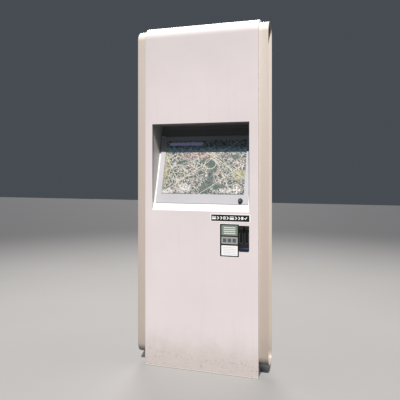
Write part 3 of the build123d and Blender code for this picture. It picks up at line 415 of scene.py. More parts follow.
class MapPaint(Paint):
    """Paint in the display's own flat coordinates: x across, y up the slope from the bezel's foot."""

    def __init__(self, name, **sockets):
        super().__init__(name, **sockets)
        offset = self.vector("SUBTRACT", self.place, tuple(SLOPE_ORIGIN))
        self.across = self.vector("DOT_PRODUCT", offset, (1, 0, 0))
        self.along = self.vector("DOT_PRODUCT", offset, tuple(UP))
        self.flat = self.join(self.across, self.along)

    def join(self, x, y):
        both = self.node("ShaderNodeCombineXYZ")
        self.put(both.inputs[0], x)
        self.put(both.inputs[1], y)
        return both.outputs[0]

    def turned(self, angle):
        made = self.node("ShaderNodeVectorRotate", rotation_type="Z_AXIS")
        self.put(made.inputs["Vector"], self.flat)
        self.put(made.inputs["Angle"], angle)
        return made.outputs[0]

    def away(self, x, y, half_x, half_y):
        """Distance from a point, in units of the two half widths, along each axis."""
        offset = self.vector("SUBTRACT", self.flat, (x, y, 0))
        return self.vector("MULTIPLY", offset, (1 / half_x, 1 / half_y, 0))

    def blob(self, x, y, half_x, half_y):
        """A soft patch round a point, with an uneven edge."""
        reach = self.vector("LENGTH", self.away(x, y, half_x, half_y))
        reach = self.math("ADD", reach, self.times(self.noise(30, place=self.flat), 0.6))
        return self.span(reach, 1.0, 1.6, 1, 0)

    def line(self, distance, width, scale, wander):
        """A line where the distance is nought, wandering by up to half the given length each way."""
        drift = self.times(self.math("SUBTRACT", self.noise(scale, place=self.flat), 0.5), wander)
        off = self.math("ABSOLUTE", self.math("ADD", distance, drift))
        return self.span(off, width * 0.4, width * 0.65, 1, 0)

    def road(self, x, y, angle, width):
        """A long road through a point, its angle in degrees."""
        angle = math.radians(angle)
        normal = (-math.sin(angle), math.cos(angle), 0)
        offset = -(normal[0] * x + normal[1] * y)
        distance = self.math("ADD", self.vector("DOT_PRODUCT", self.flat, normal), offset)
        return self.line(distance, width, 7, 20 * MM)

    def ring_road(self, x, y, radius, width):
        away = self.vector("SUBTRACT", self.flat, (x, y, 0))
        distance = self.math("SUBTRACT", self.vector("LENGTH", away), radius)
        return self.line(distance, width, 12, 32 * MM)

    def panel(self, x0, x1, y0, y1, radius):
        """A rectangle with rounded corners, drawn on the screen."""
        offset = self.vector("SUBTRACT", self.flat, ((x0 + x1) / 2, (y0 + y1) / 2, 0))
        offset = self.vector("ABSOLUTE", offset)
        half = ((x1 - x0) / 2 - radius, (y1 - y0) / 2 - radius, 0)
        beyond = self.vector("MAXIMUM", self.vector("SUBTRACT", offset, half), (0, 0, 0))
        reach = self.vector("LENGTH", beyond)
        return self.span(reach, radius - 0.4 * MM, radius + 0.4 * MM, 1, 0, smooth=False)

    def pan_arrows(self, x, y, reach):
        """Four arrowheads with short stems, pointing away from a centre."""
        across, along, _ = self.split(self.vector("ABSOLUTE", self.vector("SUBTRACT", self.flat, (x, y, 0))))
        far = self.math("MAXIMUM", across, along)
        near = self.math("MINIMUM", across, along)
        slope = self.math("SUBTRACT", reach, far)
        beyond_stem = self.math("GREATER_THAN", far, reach * 0.58)
        head = self.times(self.math("GREATER_THAN", slope, near), beyond_stem)
        thin = self.math("LESS_THAN", near, reach * 0.13)
        stem = self.times(thin, self.math("LESS_THAN", far, reach * 0.7))
        return self.math("MAXIMUM", head, stem)


# the display's patches and roads: places and sizes in metres, on the slope
PARKS = [
    (0.015, 0.268, 0.034, 0.026),
    (0.048, 0.232, 0.030, 0.034),
    (0.004, 0.090, 0.034, 0.034),
    (0.040, 0.150, 0.024, 0.046),
    (-0.150, 0.262, 0.036, 0.014),
    (0.100, 0.105, 0.040, 0.020),
    (0.190, 0.300, 0.030, 0.016),
]
PALE_ROOFS = [(-0.235, 0.075, 0.05, 0.016), (-0.13, 0.10, 0.05, 0.03), (0.14, 0.085, 0.05, 0.016)]
ROADS = [
    (-0.205, 0.20, -60, 4.2 * MM),
    (-0.13, 0.165, 36, 5.0 * MM),
    (-0.16, 0.250, 20, 3.4 * MM),
    (0.10, 0.215, -62, 4.6 * MM),
    (0.16, 0.225, -34, 4.2 * MM),
    (0.21, 0.225, 35, 4.0 * MM),
]
RING_ROADS = [(-0.180, 0.195, 0.052, 5.0 * MM), (0.030, 0.255, 0.034, 4.6 * MM)]


def map_town(paint, left):
    """Blocks, roofs, streets, fields, parks and roads, seen from above; left is the display's edge."""
    district = paint.split(paint.voronoi(11, output="Color", place=paint.flat))[0]
    turned = paint.turned(paint.times(district, math.pi))
    long_way = paint.vector("MULTIPLY", turned, (1.0, 2.3, 1.0))
    squares = {"output": "Color", "metric": "CHEBYCHEV"}
    block = paint.split(paint.voronoi(92, place=long_way, randomness=0.75, **squares))
    roof = paint.split(paint.voronoi(210, place=turned, randomness=0.8, **squares))
    base = paint.ramp(
        block[0],
        [
            (0.06, shade((38, 44, 38))),
            (0.34, shade((74, 79, 70))),
            (0.58, shade((112, 112, 101))),
            (0.78, shade((158, 154, 142))),
            (0.94, shade((250, 246, 238))),
        ],
    )
    base = paint.over(base, paint.span(roof[0], 0.84, 0.88, 0, 0.8), (250, 246, 236))
    base = paint.over(base, paint.span(roof[0], 0.24, 0.20, 0, 0.75), (36, 42, 36))
    street = paint.voronoi(30, feature="DISTANCE_TO_EDGE", place=turned, randomness=0.45)
    base = paint.over(base, paint.span(street, 0.04, 0.08, 0.6, 0), (222, 220, 208))
    tint = paint.noise(16, detail=2, place=paint.flat)
    base = paint.over(base, paint.span(tint, 0.52, 0.70, 0, 0.28), (196, 160, 146))
    base = paint.over(base, paint.span(tint, 0.46, 0.32, 0, 0.30), (108, 128, 112))
    base = paint.over(base, paint.times(paint.blob(-0.06, 0.315, 0.13, 0.030), 0.28), (206, 150, 140))
    wood = paint.mix(paint.noise(220, place=paint.flat), shade((30, 54, 40)), shade((92, 114, 92)))
    for park in PARKS:
        base = paint.mix(paint.times(paint.blob(*park), 0.8), base, wood)
    uneven = paint.span(block[1], 0.1, 0.9, 0.2, 0.6)
    for field in ((left, 0.24, 0.030, 0.14), (0.215, 0.185, 0.040, 0.040)):
        base = paint.over(base, paint.times(paint.blob(*field), uneven), (190, 188, 112))
    some = paint.span(roof[1], 0.35, 0.5, 0, 0.8)
    for patch in PALE_ROOFS:
        base = paint.over(base, paint.times(paint.blob(*patch), some), (248, 248, 246))
    masks = [paint.road(*road) for road in ROADS] + [paint.ring_road(*ring) for ring in RING_ROADS]
    for mask in masks:
        base = paint.over(base, paint.times(mask, 0.7), (244, 238, 218))
    return base


def map_controls(paint, base, left, right, foot, head):
    """A bar with ticks, arrows to move the map, and a strip of keys; gives the bar's mask too."""
    bar = paint.panel(left + 18 * MM, left + 243 * MM, head - 35 * MM, head - 14 * MM, 9 * MM)
    base = paint.over(base, paint.times(bar, 0.85), (136, 136, 190))
    for step in range(15):
        x = left + (32 + step * 13.5) * MM
        tick = paint.panel(x, x + 8.5 * MM, head - 27 * MM, head - 22 * MM, 1.5 * MM)
        base = paint.over(base, paint.times(tick, 0.55), (196, 196, 226))
    base = paint.over(base, paint.pan_arrows(left + 480 * MM, foot + 30 * MM, 26 * MM), (250, 250, 248))
    strip = paint.panel(left, right, foot - 2 * MM, foot + 6 * MM, 0.5 * MM)
    base = paint.over(base, paint.times(strip, 0.6), (70, 74, 66))
    for k in range(4):
        x = left + (205 + k * 32) * MM
        key = paint.panel(x, x + 18 * MM, foot + 0.5 * MM, foot + 5 * MM, 1 * MM)
        base = paint.over(base, key, (176, 180, 178))
    return base, bar


def map_finish():
    """An aerial town map with a few touch controls and no lettering."""
    low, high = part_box("touch_glass")
    middle = (low.x + high.x) / 2
    half = (high.x - low.x) / 2
    foot = (low.z - SLOPE_ORIGIN.z) / UP.z + BEZEL_SHEET * OUT.z / UP.z
    head = (high.z - SLOPE_ORIGIN.z) / UP.z
    paint = MapPaint("display_map", rough=0.5)
    base = map_town(paint, low.x)
    base, bar = map_controls(paint, base, low.x, high.x, foot, head)
    off_middle = paint.math("ABSOLUTE", paint.math("SUBTRACT", paint.across, middle))
    base = paint.over(base, paint.span(off_middle, half - 0.6 * MM, half - 0.4 * MM), (60, 60, 60))
    paint.color(paint.mix(1.0, base, (0.88, 0.82, 0.75), blend="MULTIPLY"))
    # the panel's own weak light with a painted bluish sky reflection added, fading out towards its head as painted
    # shade
    glow_and_sky_reflection = paint.mix(1.0, base, (0.06, 0.16, 0.30), blend="MULTIPLY")
    glow_and_sky_reflection = paint.mix(1.0, glow_and_sky_reflection, (0.22, 0.40, 0.54), blend="ADD")
    glow_and_sky_reflection = paint.mix(paint.span(paint.along, head - 75 * MM, head - 35 * MM, 0.0, 0.84), glow_and_sky_reflection, (0, 0, 0))
    glow_and_sky_reflection = paint.mix(paint.times(bar, 0.9), glow_and_sky_reflection, (0.50, 0.50, 0.90))
    paint.put(paint.shader.inputs["Emission Color"], glow_and_sky_reflection)
    paint.shader.inputs["Emission Strength"].default_value = 0.14
    return paint.mat


def make_finishes():
    """Every material by the record's slot name, and by node where one differs from its slot."""
    # painted shade: a mid-grey lining finish for sheets and hinge parts set in the recess's deep shade
    shade_lining = sheet_finish("recess_shade_lining", (132, 131, 131), (144, 142, 141), 0.5)
    return {
        "cover_enamel": cover_finish(),
        "band_enamel": band_finish(),
        "recess_enamel": sheet_finish("recess_enamel", (236, 236, 234), (246, 246, 244), 0.35),
        "bezel_enamel": sheet_finish("bezel_enamel", (182, 181, 185), (192, 191, 195), 0.38, 700.0, 0.08),
        # painted shade: the recess's walls take a darker copy of the recess enamel
        "recess_walls": sheet_finish("recess_walls", (205, 202, 199), (214, 211, 208), 0.4),
        # painted shade: the lining and the screen hinge take the grey shade-lining finish
        "recess_shade_lining": shade_lining,
        "screen_hinge_fixed": shade_lining,
        "screen_hinge_moving": shade_lining,
        "core_paint": sheet_finish("core_paint", (150, 144, 137), (163, 157, 149), 0.5, 500.0),
        "louvres": sheet_finish("louvre_paint", (138, 133, 127), (150, 145, 138), 0.55, 500.0),
        "frame_paint": sheet_finish("frame_paint", (88, 88, 90), (104, 104, 106), 0.5, 500.0),
        "galvanised": galvanised_finish(),
        "stainless": brushed_finish("stainless"),
        "lock_black": plastic_finish("lock_black", (30, 31, 33), 0.3, 1500.0, 0.1),
        "screen_glass": glass_finish(),
        "display_panel": map_finish(),
        "display_back": plastic_finish("display_back", (84, 86, 88), 0.5, 500.0),
        "circuit_board": board_finish(),
        "black_plastic": plastic_finish("black_plastic", (14, 15, 16), 0.5, shine=0.2),
        "grey_plastic": plastic_finish("grey_plastic", (172, 174, 172), 0.5),
        "label_print": print_finish("label_print", (10, 10, 11), (16, 16, 17)),
        "seal_rubber": rubber_finish(),
        "fan_plastic": plastic_finish("fan_plastic", (26, 26, 28), 0.5),
        "computer_finish": brushed_finish("computer_finish", (60, 62, 66), (4, 300, 4)),
    }


def extra_finishes():
    """Materials for drawings and small parts that the record's slots don't tell apart."""
    return {
        "label_white": print_finish("label_white", (244, 244, 242), (252, 252, 250)),
        "card_sage": print_finish("card_sage", (118, 132, 120), (128, 142, 130)),
        "card_stone": print_finish("card_stone", (158, 156, 150), (168, 166, 160)),
        "ink_pale": print_finish("ink_pale", (216, 218, 212), (226, 228, 222)),
        "ink_slate": print_finish("ink_slate", (74, 84, 92), (88, 98, 106)),
        "ink_grey": print_finish("ink_grey", (186, 188, 194), (200, 202, 208)),
        "rib_grey": plastic_finish("rib_grey", (92, 92, 92), 0.4, shine=0.4),
        "pad_grey": plastic_finish("pad_grey", (34, 34, 35), 0.55, 1400.0, 0.4, shine=0.25),
        "lip_navy": plastic_finish("lip_navy", (30, 40, 62), 0.5, shine=0.15),
        "lock_face": brushed_finish("lock_face", (120, 121, 124), (300, 4, 4)),
    }


def dress_nodes(finishes):
    """Gives every carried-over CAD node its slot's material."""
    slots = {entry["node"]: entry["material_slot"] for entry in frame["record"]["subparts"]}
    for name, obj in nodes.items():
        obj.data.materials.clear()
        obj.data.materials.append(finishes.get(name) or finishes[slots[name]])


# ---- mesh helpers ----
def finish_mesh(bm, name, matrix, sharp):
    if matrix is not None:
        bm.transform(matrix)
    bmesh.ops.recalc_face_normals(bm, faces=bm.faces)
    mesh = bpy.data.meshes.new(name)
    bm.to_mesh(mesh)
    bm.free()
    for face in mesh.polygons:
        face.use_smooth = True
    mesh.set_sharp_from_angle(angle=math.radians(sharp))
    return mesh


def add_piece(name, bm, material, body, matrix=None, replaces=(), sharp=20):
    """Puts a finished mesh on a body; its place is in its mesh, as with the CAD nodes."""
    obj = new_object(name, finish_mesh(bm, name, matrix, sharp))
    obj.data.materials.append(material)
    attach(obj, body)
    if replaces:
        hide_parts(*replaces)


def round_corners(x0, x1, y0, y1, radius, steps=6):
    """Outline of a rectangle with rounded corners, anticlockwise."""
    points = []
    corners = [(x1 - radius, y1 - radius, 0), (x0 + radius, y1 - radius, 90),
               (x0 + radius, y0 + radius, 180), (x1 - radius, y0 + radius, 270)]
    for x, y, start in corners:
        for step in range(steps + 1):
            angle = math.radians(start + 90 * step / steps)
            points.append((x + radius * math.cos(angle), y + radius * math.sin(angle)))
    return points


def circle(x, y, radius, count=32):
    return [
        (x + radius * math.cos(math.tau * k / count), y + radius * math.sin(math.tau * k / count))
        for k in range(count)
    ]


def slab(bm, outline, z0, z1, crown=0.0):
    """A plate with the given outline; crown takes its upper edge in, in two small steps."""
    levels = [(z0, 0.0), (z1, 0.0)]
    if crown:
        levels[1:] = [(z1 - crown, 0.0), (z1 - crown * 0.3, crown * 0.3), (z1, crown)]
    count = len(outline)
    rings = []
    for z, inset in levels:
        ring = []
        for index, point in enumerate(outline):
            before = Vector(outline[index - 1])
            after = Vector(outline[(index + 1) % count])
            along = (after - before).normalized()
            inward = Vector((-along.y, along.x))
            place = Vector(point) + inward * inset
            ring.append(bm.verts.new((place.x, place.y, z)))
        rings.append(ring)
    for lower, upper in zip(rings, rings[1:]):
        for k in range(count):
            n = (k + 1) % count
            bm.faces.new((lower[k], lower[n], upper[n], upper[k]))
    bm.faces.new(list(reversed(rings[0])))
    bm.faces.new(rings[-1])


def sweep(bm, rings, closed_path=False):
    """Joins equal closed rings of points into a tube, with end caps when the path is open."""
    made = [[bm.verts.new(point) for point in ring] for ring in rings]
    count = len(made[0])
    pairs = list(zip(made, made[1:]))
    if closed_path:
        pairs.append((made[-1], made[0]))
    for first, second in pairs:
        for k in range(count):
            n = (k + 1) % count
            bm.faces.new((first[k], first[n], second[n], second[k]))
    if not closed_path:
        bm.faces.new(list(reversed(made[0])))
        bm.faces.new(made[-1])


def cut(name, bm, cutters, matrix=None, bevel=0.0):
    """Takes the cutters' solids out of a mesh and rounds the sharp edges; returns a new bmesh."""
    if matrix is not None:
        bm.transform(matrix)
    bmesh.ops.recalc_face_normals(bm, faces=bm.faces)
    mesh = bpy.data.meshes.new(name)
    bm.to_mesh(mesh)
    bm.free()
    obj = new_object(name, mesh)
    helpers = []
    for index, solid in enumerate(cutters):
        if matrix is not None:
            solid.transform(matrix)
        bmesh.ops.recalc_face_normals(solid, faces=solid.faces)
        tool_mesh = bpy.data.meshes.new(f"{name}_tool_{index}")
        solid.to_mesh(tool_mesh)
        solid.free()
        tool = new_object(tool_mesh.name, tool_mesh)
        modifier = obj.modifiers.new("cut", "BOOLEAN")
        modifier.operation = "DIFFERENCE"
        modifier.solver = "EXACT"
        modifier.object = tool
        helpers.append(tool)
    if bevel:
        modifier = obj.modifiers.new("bevel", "BEVEL")
        modifier.width = bevel
        modifier.segments = 2
        modifier.limit_method = "ANGLE"
        modifier.angle_limit = math.radians(40)
        modifier.use_clamp_overlap = True
    bpy.context.view_layer.update()
    evaluated = obj.evaluated_get(bpy.context.evaluated_depsgraph_get())
    result = bmesh.new()
    result.from_mesh(evaluated.to_mesh())
    evaluated.to_mesh_clear()
    for extra in [obj, *helpers]:
        bpy.data.objects.remove(extra)
    return result


def cutter(outline, z0, z1):
    bm = bmesh.new()
    slab(bm, outline, z0, z1)
    return bm


# ---- front cover ----
def roll_path():
    """Points and inward directions of the cover's side outline, from the ground over the roll."""
    foot = COVER_LOW.z
    path = []
    for step in range(40):
        path.append(((FACE_Y, foot + (ROLL_Z - foot) * step / 40), (1, 0)))
    for step in range(65):
        angle = math.pi - math.pi * step / 64
        y = math.cos(angle)
        z = math.sin(angle)
        path.append(((ROLL_Y + ROLL_R * y, ROLL_Z + ROLL_R * z), (-y, -z)))
    leg = ROLL_Z - 24 * MM
    for step in range(1, 4):
        path.append(((ROLL_Y + ROLL_R, ROLL_Z + (leg - ROLL_Z) * step / 3), (-1, 0)))
    return path


def bend_points(x, y, radius, start, turn):
    """Seven points round a bend, angles in degrees."""
    angles = [math.radians(start + turn * step / 6) for step in range(7)]
    return [(x + radius * math.cos(angle), y - radius * math.sin(angle)) for angle in angles]


def cover_section():
    """Across the cover: (x, inset) round the sheet, with rolled bends at both returned edges."""
    bend = 3.5 * MM
    tight = bend - SHEET
    half, depth = COVER_HALF, STANDOFF
    leg, flat = bend + 4 * MM, half - bend
    across = [-flat + 2 * flat * step / 12 for step in range(1, 12)]
    return [
        (-half, depth), (-half, leg),
        *bend_points(-flat, bend, bend, 180, -90),
        *[(x, 0.0) for x in across],
        *bend_points(flat, bend, bend, 90, -90),
        (half, leg), (half, depth), (half - SHEET, depth), (half - SHEET, leg),
        *bend_points(flat, bend, tight, 0, 90),
        *[(x, SHEET) for x in reversed(across)],
        *bend_points(-flat, bend, tight, 90, 90),
        (-half + SHEET, leg), (-half + SHEET, depth),
    ]


def add_cover(finish):
    """The cover sheet with bent edges, rolled top and its two openings."""
    section = cover_section()
    rings = [
        [(x, y + toward[0] * inset, z + toward[1] * inset) for x, inset in section]
        for (y, z), toward in roll_path()
    ]
    bm = bmesh.new()
    sweep(bm, rings)
    reader_low, reader_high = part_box("reader_bezel")
    lap = 2 * MM
    holes = [
        round_corners(OPENING_X0, OPENING_X1, RECESS_BOTTOM, RECESS_TOP, 1.2 * MM, 3),
        round_corners(reader_low.x + lap, reader_high.x - lap,
                      reader_low.z + lap, reader_high.z - lap, 3 * MM, 3),
    ]
    tools = [cutter(outline, -10 * MM, 10 * MM) for outline in holes]
    for tool in tools:
        tool.transform(FRONT)
    bm = cut("cover_blank", bm, tools, bevel=0.35 * MM)
    add_piece("cover_sheet", bm, finish, "cabinet", replaces=["front_cover"])


# ---- trim bands ----
def band_path():
    """Points and inward directions round the closed loop."""
    low = BAND_LOW.z + BAND_R
    path = []
    straight, steps = 24, 48
    for step in range(straight):
        path.append(((BAND_LOW.y, low + (ROLL_Z - low) * step / straight), (1, 0)))
    for step in range(steps):
        angle = math.pi - math.pi * step / steps
        path.append(((ROLL_Y + BAND_R * math.cos(angle), ROLL_Z + BAND_R * math.sin(angle)),
                     (-math.cos(angle), -math.sin(angle))))
    for step in range(straight):
        path.append(((BAND_HIGH.y, ROLL_Z + (low - ROLL_Z) * step / straight), (-1, 0)))
    for step in range(steps):
        angle = -math.pi * step / steps
        path.append(((ROLL_Y + BAND_R * math.cos(angle), low + BAND_R * math.sin(angle)),
                     (-math.cos(angle), -math.sin(angle))))
    return path


def add_band(side, finish):
    """A rolled strip with a rounded outer edge, closed into a loop."""
    word = "right" if side > 0 else "left"
    inner_x = BAND_LOW.x
    outer_x = BAND_HIGH.x
    radius = BAND_SHEET / 2
    section = [(inner_x, BAND_SHEET), (inner_x, 0.0)]
    section += [(inner_x + (outer_x - radius - inner_x) * k / 6, 0.0) for k in range(1, 6)]
    for step in range(9):
        angle = math.radians(90 - 180 * step / 8)
        section.append((outer_x - radius + radius * math.cos(angle), radius - radius * math.sin(angle)))
    section += [(outer_x - radius - (outer_x - radius - inner_x) * k / 6, BAND_SHEET) for k in range(1, 6)]
    rings = [
        [(side * x, y + toward[0] * inset, z + toward[1] * inset) for x, inset in section]
        for (y, z), toward in band_path()
    ]
    bm = bmesh.new()
    sweep(bm, rings, closed_path=True)
    add_piece(f"band_strip_{word}", bm, finish, "cabinet",
              replaces=[f"trim_band_{word}"], sharp=32)


# ---- flat drawings ----
def box_points(x0, x1, y0, y1):
    return [(x1, y1), (x0, y1), (x0, y0), (x1, y0)]


def ring_slab(bm, outer, inner, z0, z1):
    """A plate between two outlines with the same number of points."""
    rings = []
    for outline in (outer, inner):
        for z in (z0, z1):
            rings.append([bm.verts.new((x, y, z)) for x, y in outline])
    outer_low, outer_high, inner_low, inner_high = rings
    count = len(outer)
    for k in range(count):
        n = (k + 1) % count
        bm.faces.new((outer_low[k], outer_low[n], outer_high[n], outer_high[k]))
        bm.faces.new((outer_high[k], outer_high[n], inner_high[n], inner_high[k]))
        bm.faces.new((inner_high[k], inner_high[n], inner_low[n], inner_low[k]))
        bm.faces.new((inner_low[k], inner_low[n], outer_low[n], outer_low[k]))


def ink(name, shapes, material, z0, z1):
    """One printed layer: filled outlines, and pairs of outlines for rings."""
    bm = bmesh.new()
    for shape in shapes:
        if isinstance(shape[0][0], tuple):
            ring_slab(bm, shape[0], shape[1], z0, z1)
        else:
            slab(bm, shape, z0, z1)
    add_piece(name, bm, material, "cabinet", FRONT)


def line_box(x0, x1, y0, y1, width, radius):
    return (
        round_corners(x0, x1, y0, y1, radius),
        round_corners(x0 + width, x1 - width, y0 + width, y1 - width, max(radius - width, 0.1 * MM)),
    )


# ---- label above the reader ----
def card_sign(x, y, height):
    """A card with a gap for its stripe."""
    width = height * SIGNS["card"][1]
    return [
        round_corners(x, x + width, y + height * 0.80, y + height, 1.2 * MM, 3),
        round_corners(x, x + width, y, y + height * 0.58, 1.6 * MM, 3),
    ]


def chevron(x, y, height):
    """A bold arrowhead pointing right."""
    reach = height * 0.40
    thick = height * 0.38
    return [[
        (x, y), (x + thick, y), (x + thick + reach, y + height / 2),
        (x + thick, y + height), (x, y + height), (x + reach, y + height / 2),
    ]]


def slot_sign(x, y, height):
    """An upright reader with a card's edge in it."""
    width = height * SIGNS["slot"][1]
    return [
        line_box(x, x + width, y, y + height, 3.6 * MM, 3 * MM),
        box_points(x + width * 0.40, x + width * 0.60, y + height * 0.26, y + height * 0.74),
    ]


def receipt_sign(x, y, height):
    """A slip with a torn lower edge."""
    width = height * SIGNS["receipt"][1]
    teeth = 4
    points = [(x + width, y + height), (x, y + height)]
    for k in range(teeth * 2 + 1):
        points.append((x + width * k / (teeth * 2), y + (0 if k % 2 else height * 0.14)))
    return [points]


def tick_sign(x, y, height):
    """A tick, drawn as one bold bent stroke."""
    corners = [(0, 0.46), (0.20, 0.66), (0.36, 0.50), (0.80, 1.0), (1.0, 0.78), (0.38, 0.08)]
    return [[(x + across * height, y + up * height) for across, up in reversed(corners)]]


# each sign's drawing, and its width over its height
SIGNS = {
    "card": (card_sign, 1.45), "go": (chevron, 0.78), "slot": (slot_sign, 0.8),
    "receipt": (receipt_sign, 0.72), "tick": (tick_sign, 0.94),
}


def add_label(finishes, inks):
    """Black plate with a white border and a row of plain pictograms."""
    low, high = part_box("label_plate")
    thick = high.y - low.y
    x0, x1, y0, y1 = low.x, high.x, low.z, high.z
    bm = bmesh.new()
    slab(bm, round_corners(x0, x1, y0, y1, 2.5 * MM), 0, thick * 0.6, crown=0.2 * MM)
    add_piece("label_border", bm, inks["label_white"], "cabinet", FRONT,
              replaces=["label_plate"])
    rim = 4.4 * MM
    field = [round_corners(x0 + rim, x1 - rim * 1.3, y0 + rim, y1 - rim, 1.2 * MM, 3)]
    ink("label_field", field, finishes["label_print"], thick * 0.55, thick * 0.8)
    height = 18 * MM
    y = (y0 + y1) / 2 - height / 2
    shapes = []
    x = x0 + 8.5 * MM
    for kind in ("card", "go", "go", "slot", "go", "card", "go", "go", "receipt", "tick"):
        maker, width = SIGNS[kind]
        shapes += maker(x, y, height)
        x += height * width + 5.2 * MM
    ink("label_signs", shapes, inks["label_white"], thick * 0.75, thick)


# ---- plate with three stickers beside the reader ----
def add_marks(finishes, inks):
    """Rounded black plate carrying three plain cards: bars, squares and thin lines."""
    low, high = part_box("mark_plate")
    thick = high.y - low.y
    width = high.x - low.x
    tall = high.z - low.z
    bm = bmesh.new()
    slab(bm, round_corners(low.x, high.x, low.z, high.z, 4 * MM), 0, thick * 0.6, crown=0.25 * MM)
    add_piece("mark_board", bm, finishes["label_print"], "cabinet", FRONT,
              replaces=["mark_plate"])
    rim = 2.4 * MM
    border = round_corners(low.x - rim, high.x - 1 * MM, low.z - rim, high.z + rim, 5 * MM)
    ink("mark_border", [border], inks["label_white"], 0, thick * 0.3)

    def part(fx0, fx1, fy0, fy1, radius=2.0):
        return round_corners(low.x + width * fx0, low.x + width * fx1,
                             high.z - tall * fy1, high.z - tall * fy0, radius * MM, 4)

    base = thick * 0.55
    first = thick * 0.75
    second = thick * 0.88
    left, right = 0.080, 0.935
    ink("card_sage", [part(left, right, 0.034, 0.350)], inks["card_sage"], base, first)
    ink("card_stone", [part(left, right, 0.392, 0.608)], inks["card_stone"], base, first)
    ink("card_white", [part(left, right, 0.657, 0.966)], inks["label_white"], base, first)
    bars = [part(0.20, 0.82, 0.092 + k * 0.060, 0.122 + k * 0.060, 1) for k in range(4)]
    ink("card_sage_bars", bars, inks["ink_pale"], first, second)
    squares = [part(0.155 + k * 0.255, 0.345 + k * 0.255, 0.440, 0.560, 1.5) for k in range(3)]
    ink("card_stone_squares", squares, inks["ink_slate"], first, second)
    lines = [part(0.17, 0.85, 0.712 + k * 0.050, 0.724 + k * 0.050, 0.6) for k in range(5)]
    ink("card_white_lines", lines, inks["ink_grey"], first, second)


# ---- card reader ----
def add_reader(finishes, inks):
    """Moulded reader front: throat, two U-shaped ribs, thumb pads and a blue nose below."""
    low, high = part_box("reader_bezel")
    x0, x1, y0, y1 = low.x, high.x, low.z, high.z
    mid = (x0 + x1) / 2
    front = 3 * MM
    throat_low, throat_high = y0 + 35 * MM, y1 - 12 * MM
    bm = bmesh.new()
    slab(bm, round_corners(x0, x1, y0, y1, 3.5 * MM), 0, front, crown=1 * MM)
    slot = round_corners(mid - 3 * MM, mid + 3 * MM, throat_low, throat_high, 1 * MM, 3)
    bm = cut("reader_blank", bm, [cutter(slot, -4 * MM, 8 * MM)], FRONT, bevel=0.4 * MM)
    add_piece("reader_front", bm, finishes["black_plastic"], "cabinet",
              replaces=["reader_bezel"])

    bm = bmesh.new()
    inset = 2.3 * MM
    ring_slab(bm, box_points(x0 + inset, x1 - inset, y0 + inset, y1 - inset),
              box_points(mid - 3 * MM, mid + 3 * MM, throat_low, throat_high), -14 * MM, 0)
    add_piece("reader_throat", bm, finishes["black_plastic"], "cabinet", FRONT)

    bm = bmesh.new()
    for side in (-1, 1):
        a = mid + side * 4.8 * MM
        b = mid + side * 27.2 * MM
        left, right = min(a, b), max(a, b)
        top, foot, line = y1 - 41 * MM, y0 + 45 * MM, 1.7 * MM
        outline = [(left, top), (left, foot), (right, foot), (right, top), (right - line, top),
                   (right - line, foot + line), (left + line, foot + line), (left + line, top)]
        slab(bm, outline, front - 0.3 * MM, front + 1.4 * MM)
    add_piece("reader_ribs", bm, inks["rib_grey"], "cabinet", FRONT)

    bm = bmesh.new()
    for side in (-1, 1):
        a = mid + side * 5.5 * MM
        b = mid + side * 26.5 * MM
        outline = round_corners(min(a, b), max(a, b), y1 - 22 * MM, y1 - 4 * MM, 2 * MM)
        slab(bm, outline, front - 0.3 * MM, front + 1.2 * MM, crown=0.6 * MM)
    outline = round_corners(x0 + 3 * MM, x1 - 3 * MM, y0 + 23 * MM, y0 + 42 * MM, 1.5 * MM)
    slab(bm, outline, front - 0.3 * MM, front + 0.6 * MM, crown=0.4 * MM)
    add_piece("reader_pads", bm, inks["pad_grey"], "cabinet", FRONT)

    bm = bmesh.new()
    # the nose's side outline, (out, up) in millimetres, drawn in towards both ends
    nose = [(0.0, 21.0), (2.8, 20.6), (5.6, 17.0), (7.9, 12.5), (8.8, 9.0),
            (9.0, 6.0), (8.4, 3.6), (6.9, 2.0), (4.5, 1.0), (0, 0.6)]
    middle, base = 11, 2
    ends = [(2.4, 0.80), (2.9, 0.93), (4.4, 1.0)]
    stations = [(x0 + inset * MM, shrink) for inset, shrink in ends]
    stations += [(x1 - inset * MM, shrink) for inset, shrink in reversed(ends)]
    rings = [
        [
            (x, y0 + (middle + (up - middle) * shrink) * MM,
             (base + (out - base) * shrink if out > base else out) * MM)
            for out, up in nose
        ]
        for x, shrink in stations
    ]
    sweep(bm, rings)
    add_piece("reader_nose", bm, inks["lip_navy"], "cabinet", FRONT, sharp=40)


# ---- recess ceiling and its painted shade lining ----
def add_ceiling(finishes):
    """Painted shade: a grey lining under the recess's ceiling and down its back, with a lighter strip across the
    ceiling's front part.
    """
    x0, x1 = WALLS_LOW.x + SHEET, WALLS_HIGH.x - SHEET
    front, back = FACE_Y + SHEET + 0.4 * MM, WALLS_HIGH.y - SHEET
    bm = bmesh.new()
    slab(bm, round_corners(x0, x1, front, back, 1 * MM, 3), RECESS_TOP - 1.2 * MM, RECESS_TOP, crown=0.3 * MM)
    add_piece("ceiling_shade_lining", bm, finishes["recess_shade_lining"], "cabinet")
    bm = bmesh.new()
    panel = round_corners(x0, x1, RECESS_TOP - 70 * MM, RECESS_TOP - 1.3 * MM, 1 * MM, 3)
    slab(bm, panel, -(back - FACE_Y), -(back - FACE_Y) + 1.2 * MM, crown=0.3 * MM)
    add_piece("back_shade_lining", bm, finishes["recess_shade_lining"], "cabinet", FRONT)
    bm = bmesh.new()
    strip = round_corners(x0 + 12 * MM, x1 - 12 * MM, front + 16 * MM, front + 36 * MM, 1 * MM, 3)
    slab(bm, strip, RECESS_TOP - 2.2 * MM, RECESS_TOP - 1.1 * MM)
    add_piece("ceiling_strip", bm, finishes["recess_walls"], "cabinet")


